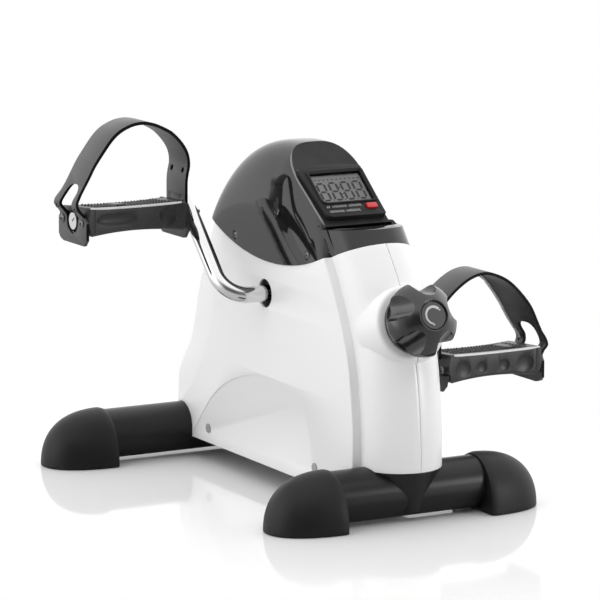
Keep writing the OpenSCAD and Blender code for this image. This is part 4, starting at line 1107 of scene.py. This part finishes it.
def make_block(name, side):
    rings = []
    for x in levels(-PEDAL_HALF, PEDAL_HALF, 3):
        half = PEDAL_DEEP / 2 - waist_at(x)
        low, top = PEDAL_LOW + waist_at(x), top_at(x)
        line = rounded([(half, low, 3.2), (half, top - 1.8, 0.8), (half - 1.8, top, 0.8),
                        (-half, top - REAR_DROP, 2), (-half, low, 3.2)], 3)
        rings.append([at_pedal(side, PEDAL_MID + x, f, z) for f, z in line])
    body = loft("pedal", rings)
    # Both ends bulge outwards
    bulge = [(PEDAL_HALF - (5.2 if z < 1.3 else 1.6) * ((z - 1.3) / 15) ** 2, z) for z in levels(-16, 19, 2.5)]
    outline = bulge + [(-x, z) for x, z in reversed(bulge)]
    ends = loft("ends", [[at_pedal(side, PEDAL_MID + x, f, z) for x, z in outline] for f in (-60, 60)])
    carve(body, ends, "INTERSECT")
    # Groove round the block near its outer end
    groove = [PEDAL_MID + GROOVE_X - 0.6, PEDAL_MID + GROOVE_X + 0.6]
    for first, last in ((-40, 1 - PEDAL_DEEP / 2), (PEDAL_DEEP / 2 - 1, 40)):
        carve(body, pedal_prism("groove", side, ((first, -30), (last, -30), (last, 30), (first, 30)), groove))
    for x, z, wide, high in SCOOPS[side]:
        face = PEDAL_DEEP / 2 - waist_at(x)
        ball = []
        for k in range(1, 14):
            a = math.pi * k / 14
            size = 1.25 * math.sin(a)
            ball.append([at_pedal(side, PEDAL_MID + x + wide * size * p, face + 2.4 - 4 * math.cos(a),
                                  z + high * size * q) for p, q in circle_ring(1, 40)])
        carve(body, loft("scoop", ball))
    carve(body, pedal_prism("bore", side, circle_ring(BUSH_R + 0.1, 40), (90, 230)))
    half, end = PAD_HALF + 0.2, PAD_LONG + 0.2
    outline = ((-half, -2.5), (half, -2.5), (half, 6), (-half, 6))
    carve(body, loft("seat", [[on_pad(side, x, f, h) for f, h in outline] for x in levels(-end, end, 6)]))
    soften(body, 0.7, 3, 30)
    body.name = name + "_pedal_block"
    dress(paint(body, pedal_black), name + "_foot_pedal", "black_plastic", name + "_pedal")
    # Light strip along the front top edge of the block: a painted highlight on the rounded edge
    strip = []
    for x in levels(-47, 50.6, 3):
        half, top = PEDAL_DEEP / 2 - waist_at(x), top_at(x)
        thin = 0.4 + 0.3 * min(1, (51.5 - abs(x)) / 12)
        strip.append([at_pedal(side, PEDAL_MID + x, half + a * thin, top + b * thin) for a, b in
                      ((-2.6, -0.6), (-2.4, 0.35), (-0.9, -0.05), (0.25, -1.5), (0.2, -2.4), (-0.6, -2.6))])
    dress(loft(name + "_edge_strip", strip, edge_highlight_grey, 40), name + "_foot_pedal", "grey_plastic")


def make_tread(name, side):
    """Rubber pad with rows of studs and a raised cleat."""
    half = PAD_HALF
    outline = ((-half, -2.4), (half, -2.4), (half, -0.3), (half - 0.4, 0.2), (0.4 - half, 0.2), (-half, -0.3))
    pad = loft("pad", [[on_pad(side, x, f, h) for f, h in outline] for x in levels(-PAD_LONG, PAD_LONG, 4)], rubber)
    lean = axes((0, -math.sin(math.atan(REAR_DROP / PEDAL_DEEP)), 1), (0, 1, 0))
    stud = item_of(loft("stud", [[(a, b, h) for a, b in circle_ring(r, 8, 0.39)]
                                 for r, h in ((1.25, -0.2), (1.1, 0.7), (0.6, 1.1))]))
    spots = [(on_pad(side, x + (STUD_STEP / 2 if row % 2 else 0), f, 0.2), lean)
             for row, f in enumerate(levels(-17, 17, STUD_STEP)) for x in levels(-39, 37, STUD_STEP)]
    studs = repeat("studs", stud, spots, rubber, 0.12)
    dress(joined(name + "_tread_pad", [pad, studs]), name + "_foot_pedal", "tread_rubber", name + "_tread")
    line = rounded([(-5, -9, 1.5), (5, -9, 1.5), (5, 15, 1.5), (-5, 15, 1.5)], 3)
    cleat = loft(name + "_cleat", [[on_pad(side, CLEAT_X[side] + x * k, f, h) for x, f in line]
                                   for h, k in ((-0.2, 1.15), (1.6, 1.0), (2.0, 0.85))], strap_black)
    dress(cleat, name + "_foot_pedal", "tread_rubber")


STRAP_OUT = PEDAL_MID + PEDAL_HALF + 3.25
PLATE_IN = PEDAL_MID - PEDAL_HALF
# (x, z) along the outer half of the strap
STRAP_CURVE = [(5.9, 16), (6.0, 18), (5.6, 21), (2.0, 29), (-3, 40), (-10, 54), (-20.5, 67), (-33, 79), (-46, 86.6),
               (-61, 91)]


def make_spindle_face(name, side):
    """Slot in the spindle's head and the ring round it, both painted shade in the flat shade black."""
    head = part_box(name + "_spindle")[1 if side > 0 else 0].x / MM * side
    along, across = Vector(polar(3.2, 38)), Vector(polar(0.6, 128))
    slot = [Vector((1.2, 1.5)) + along * a + across * b for a, b in SQUARE]
    mark = pedal_prism(name + "_spindle_slot", side, slot, (head - 0.5, head + 0.06), painted_shade_black)
    dress(mark, "crank", "gloss_black")
    seat = [[at_pedal(side, PEDAL_MID + PEDAL_HALF + h, f, z) for f, z in circle_ring(r, 48)]
            for r, h in ((9.0, -1.0), (12.1, -1.0), (12.1, 0.18), (9.0, 0.18))]
    dress(loft(name + "_spindle_seat", seat, painted_shade_black, close=True), name + "_foot_pedal", "black_plastic")


def cut_plate(side):
    """Keeps the inner plate below the pedal's top and gives it a deeper skirt."""
    def change(obj):
        carve(obj, pedal_prism("above", side, ((-50, 12.5), (50, 12.5), (50, 60), (-50, 60)), (80, 125)))
        skirt = [(-27, -8), (-25, -20.5), (21, -21.5), (28, -15), (30.5, -5)]
        carve(obj, pedal_prism("skirt", side, skirt, (PLATE_IN - 2.9, PLATE_IN - 0.4)), "UNION")
    return change


def strap_move(side, x, f, z):
    """How far the worn-in straps hang outboard and up from their even curve."""
    if side > 0:
        away = max(0, math.sin(math.pi * (z - 10) / 82)) if 10 < z < 92 and x > 0 else 0
        return -10.0 * away * (0.5 - f / 40), 0.0
    outer = max(0, math.sin(math.pi * (z - 20) / 66)) if 20 < z < 86 and x > 0 else 0
    inner = math.sin(math.pi * (z - 44) / 70) * min(1, max(0, (-x - 6) / 34)) if z > 44 else 0
    crown = max(0, 1 - ((x - 8) / 40) ** 2) * max(0, (z - 60) / 31)
    return -4.6 * outer - 1.5 * inner, 4.6 * inner + 1.7 * crown


def cut_strap(side):
    """Widens the opening at the top and closes the seats under the pedal's top."""
    def change(obj):
        line = rounded([(-12.2, 3, 2), (14.5, 3, 2), (14.5, 36, 9.5), (-9.0, 36, 9)], 6)
        carve(obj, pedal_prism("opening", side, line, (STRAP_OUT - 12, STRAP_OUT + 14)))
        shut = ((-17, 12.2), (17, 12.2), (17, 22), (-17, 22))
        carve(obj, pedal_prism("seats", side, shut, (PLATE_IN - 6.1, PLATE_IN - 3.4)), "UNION")
        for vertex in obj.data.vertices:
            place = vertex.co / MM - MIDDLE - HUBS[side]
            move = strap_move(side, side * (place.x + HUBS[side].x + MID_X) - PEDAL_MID, -place.y, place.z)
            vertex.co += Vector((side * move[0], 0, move[1])) * MM
    return change


def paint_side_shade(obj):
    """Painted shade: the narrow sides of a band, front and rear, get the flat shade black, darker than its broad
    sides.
    """
    obj.data.materials.append(painted_shade_black)
    for polygon in obj.data.polygons:
        if abs(polygon.normal.y) > 0.75:
            polygon.material_index = 1


def make_strap_highlight(name, side):
    """Pale strip along the rear inner edge of the strap's outer half: a painted highlight where that edge catches
    the light.
    """
    rings = []
    for k, (x, z) in enumerate(STRAP_CURVE):
        before, after = STRAP_CURVE[max(0, k - 1)], STRAP_CURVE[min(len(STRAP_CURVE) - 1, k + 1)]
        along = Vector((after[0] - before[0], after[1] - before[1])).normalized()
        inward = Vector((-along.y, along.x))
        base = Vector((STRAP_OUT + x, z)) + inward * 1.4
        ring = []
        for f, h in ((-20.1, -1.5), (-20.1, 0.9), (-19.5, 1.3), (-17.6, 1.3), (-17.1, 0.9), (-17.1, -1.5)):
            px, pz = base.x + inward.x * h, base.y + inward.y * h
            move = strap_move(side, px - PEDAL_MID, f, pz)
            ring.append(at_pedal(side, px + move[0], f, pz + move[1]))
        rings.append(ring)
    dress(loft(name + "_strap_piping", rings, strap_highlight_white, 40), name + "_foot_pedal", "strap_plastic")


def make_bosses(name, side):
    """Two small round bosses with a sunk hole on the strap's outer side."""
    places = [(at_pedal(side, STRAP_OUT + 6.6, f, 14), axes((side, 0, 0), (0, 0, 1))) for f in (-20, 20)]
    profile = ((3.1, -2.4), (3.1, 0.3), (2.7, 0.7), (1.6, 0.7), (1.4, -0.6), (0.01, -0.7))
    boss = item_of(turned("boss", profile, flat, n=20))
    dress(repeat(name + "_strap_bosses", boss, places, strap_black), name + "_foot_pedal", "strap_plastic")


for pedal_name, pedal_side in SIDES.items():
    make_block(pedal_name, pedal_side)
    make_tread(pedal_name, pedal_side)
    foot = pedal_name + "_foot_pedal"
    paint_side_shade(rounded_copy(pedal_name + "_strap", 0.5, strap_black, foot, "strap_plastic", cut_strap(pedal_side)))
    rounded_copy(pedal_name + "_inner_plate", 0.6, pedal_black, foot, "black_plastic", cut_plate(pedal_side))
    make_strap_highlight(pedal_name, pedal_side)
    make_bosses(pedal_name, pedal_side)
    make_spindle_face(pedal_name, pedal_side)

# ---------------------------------------------------------------- foot caps

CAP_OVER = 2.6
CAP_LIP = 0.8
CAP_STEPS = 24
# Powers of the cap's curve seen from above and from the front
CAP_PLAN = 2.3
CAP_RISE = 2.5


def make_cap(node):
    """Rounded foot cap, a little fuller than its tube, with a fine rim where the tube goes in."""
    low, high = [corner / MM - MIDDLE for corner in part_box(node)]
    side = 1 if (low.x + high.x) > 0 else -1
    rim, end = (low.x, high.x) if side > 0 else (high.x, low.x)
    y, half = (low.y + high.y) / 2, (high.y - low.y) / 2
    tall = TUBE_RISE + TUBE_R + CAP_OVER
    rings = []
    for k in range(CAP_STEPS + 1):
        t = math.sin(math.pi / 2 * k / CAP_STEPS)
        step = 0.975 + 0.025 * min(1, t / 0.06)
        w = half * max(0.0004, 1 - t ** CAP_PLAN) ** (1 / CAP_PLAN) * step
        h = tall * max(0.01, 1 - t ** CAP_RISE) ** (1 / CAP_RISE) * step
        foot = w - min(CAP_LIP, w / 2)
        arch = [(y + w * math.cos(a), CAP_LIP + (h - CAP_LIP) * math.sin(a) ** 0.92)
                for a in levels(0, math.pi, math.pi / 36)]
        rings.append([(rim + (end - rim) * t, p, q) for p, q in arch + [(y - foot, 0), (y + foot, 0)]])
    cap = loft(node + "_shape", rings)
    way = (rim - side * 5, rim + (end - rim) * 0.14)
    carve(cap, rod_x("tube way", TUBE_R + PART_GAP, *way, y, TUBE_RISE, 96))
    soften(cap, 0.5, 2, 40)
    dress(paint(cap, cap_black), "base", "cap_rubber", node)


for cap_node in ("front_left_cap", "front_right_cap", "rear_left_cap", "rear_right_cap"):
    make_cap(cap_node)

# ---------------------------------------------------------------- screws


def make_screws():
    """Cross-headed screws in both pedals and in the top cover."""
    for name, side in SIDES.items():
        places = [(at_pedal(side, x, f, 0), spun(axes((out, 0, 0), (0, 0, 1)), turn + f))
                  for x, out, turn in ((STRAP_OUT + 0.05, side, 20), (PLATE_IN - 3.05, -side, 50))
                  for f in (-EDGE_SCREW, EDGE_SCREW)]
        heads = repeat(name + "_pedal_screw_heads", screw_item(4.0, 2.0, 1.9, 6.0), places, dark_screw)
        dress(heads, name + "_foot_pedal", "zinc_steel", name + "_pedal_screws")
    places = [(Vector((side * 48.6, y, z)), spun(axes((side, 0, 0), (0, 0, 1)), 15 + y))
              for side in (-1, 1) for y, z in COVER_SCREWS]
    heads = repeat("cover_screw_heads", screw_item(3.5, 1.6, 2.0, 5.0), places, dark_screw)
    dress(heads, "base", "zinc_steel", "cover_screws")


make_screws()

# ---------------------------------------------------------------- nodes that keep their CAD shape

KEPT = [
    (tube_black, "front_tube rear_tube front_neck"),
    (frame_coat, "main_frame"),
    (plug_grey, "left_plugs right_plugs knob_bush"),
    (board_green, "circuit_board"),
    (cell_wrap, "battery"),
    (matte_black, "battery_door speed_sensor"),
    (felt, "brake_felt"),
    (rubber, "sensor_cable"),
    (iron, "brake_drum"),
    (chrome, "crank_rod left_spindle right_spindle"),
    (bronze, "left_bearing right_bearing left_bushes right_bushes"),
    (zinc, "front_bolts rear_bolts shell_screws brake_band band_anchor tension_bracket axle_rings drum_magnet "
           "tension_bolt bolt_ring tension_nut"),
]

for kept_material, kept_nodes in KEPT:
    for kept_node in kept_nodes.split():
        for kept_slot in frame["nodes"][kept_node].material_slots:
            kept_slot.material = kept_material

# ---------------------------------------------------------------- floor, world and lamps

FADE_START = 0.24
FADE_END = 0.46
# Light from each side: from the front by the left side, the rear and the right side back to the front
LIGHT_RING = [(0.0, 0.2), (0.05, 0.12), (0.13, 0.18), (0.19, 1.0), (0.26, 2.4), (0.36, 1.7), (0.42, 1.2), (0.6, 1.3),
              (0.75, 1.5), (0.82, 1.0), (0.88, 0.3), (1.0, 0.2)]
LIGHT_ABOVE = 1.25


def make_floor():
    """Pale glossy floor that fades into the white around it."""
    ring = circle_ring(4.0)
    mesh = bpy.data.meshes.new("floor")
    mesh.from_pydata([(x, y, 0) for x, y in ring], [], [tuple(range(len(ring)))])
    floor = link("floor", mesh)
    floor.location = (0, 0, -0.0004)
    material, tree, surface = new_material("floor")
    place = add(tree, "ShaderNodeTexCoord")
    eye = add(tree, "ShaderNodeLightPath")
    base = mix_colour(tree, eye.outputs["Is Camera Ray"], grey(196), grey(249))
    tree.links.new(base, surface.inputs["Base Color"])
    tree.links.new(span(tree, noise(tree, 8.0, 2.0, 0.5), 0.05, 0.08), surface.inputs["Roughness"])
    surface.inputs["Specular IOR Level"].default_value = 0.22
    stretched = add(tree, "ShaderNodeMapping", {"Vector": place.outputs["Object"], "Scale": (1.0, 0.8, 1.0)})
    away = add(tree, "ShaderNodeVectorMath", {0: stretched.outputs[0]}, operation="LENGTH")
    fade = add(tree, "ShaderNodeMapRange", {
        "Value": away.outputs["Value"], "From Min": FADE_START, "From Max": FADE_END},
        interpolation_type="SMOOTHSTEP")
    shown = math_node(tree, "MULTIPLY", fade.outputs[0], eye.outputs["Is Camera Ray"])
    clear = add(tree, "ShaderNodeBsdfTransparent")
    show_through(tree, shown, clear.outputs[0], surface.outputs[0])
    mesh.materials.append(material)


def make_world():
    """White to the eye; for light and reflections bright at both sides, behind and above, and dark in front."""
    world = bpy.data.worlds.new("studio")
    scene.world = world
    world.use_nodes = True
    tree = world.node_tree
    tree.nodes.clear()
    place = add(tree, "ShaderNodeTexCoord")
    parts = add(tree, "ShaderNodeSeparateXYZ", {0: place.outputs["Generated"]})
    turn = math_node(tree, "ARCTAN2", parts.outputs["X"], parts.outputs["Y"])
    round_it = add(tree, "ShaderNodeMapRange", {"Value": turn, "From Min": -math.pi, "From Max": math.pi})
    ring = add(tree, "ShaderNodeValToRGB", {0: round_it.outputs[0]})
    bar = ring.color_ramp
    for element, (position, value) in zip(bar.elements, (LIGHT_RING[0], LIGHT_RING[-1])):
        element.position = position
        element.color = (value, value, value, 1)
    for position, value in LIGHT_RING[1:-1]:
        bar.elements.new(position).color = (value, value, value, 1)
    up = add(tree, "ShaderNodeMapRange", {"Value": parts.outputs["Z"], "From Min": 0.4, "From Max": 0.8},
             interpolation_type="SMOOTHSTEP")
    around = mix_colour(tree, up.outputs[0], ring.outputs[0], (LIGHT_ABOVE, LIGHT_ABOVE, LIGHT_ABOVE, 1))
    eye = add(tree, "ShaderNodeLightPath")
    seen = mix_colour(tree, eye.outputs["Is Camera Ray"], around, (1, 1, 1, 1))
    light = add(tree, "ShaderNodeBackground", {"Color": seen, "Strength": 1.0})
    out = add(tree, "ShaderNodeOutputWorld")
    tree.links.new(light.outputs[0], out.inputs["Surface"])


def make_lamp():
    """Narrow soft lamp at the right front, which lights the knob's side and the right pedal."""
    light = bpy.data.lights.new("side lamp", "AREA")
    light.energy = 0.3
    light.size = 0.35
    light.spread = math.radians(40)
    lamp = link("side lamp", light)
    lamp.location = (0.75, -1.05, 0.3)
    aim = Vector((0.15, -0.05, 0.14)) - lamp.location
    lamp.rotation_euler = aim.to_track_quat("-Z", "Y").to_euler()


make_floor()
make_world()
make_lamp()
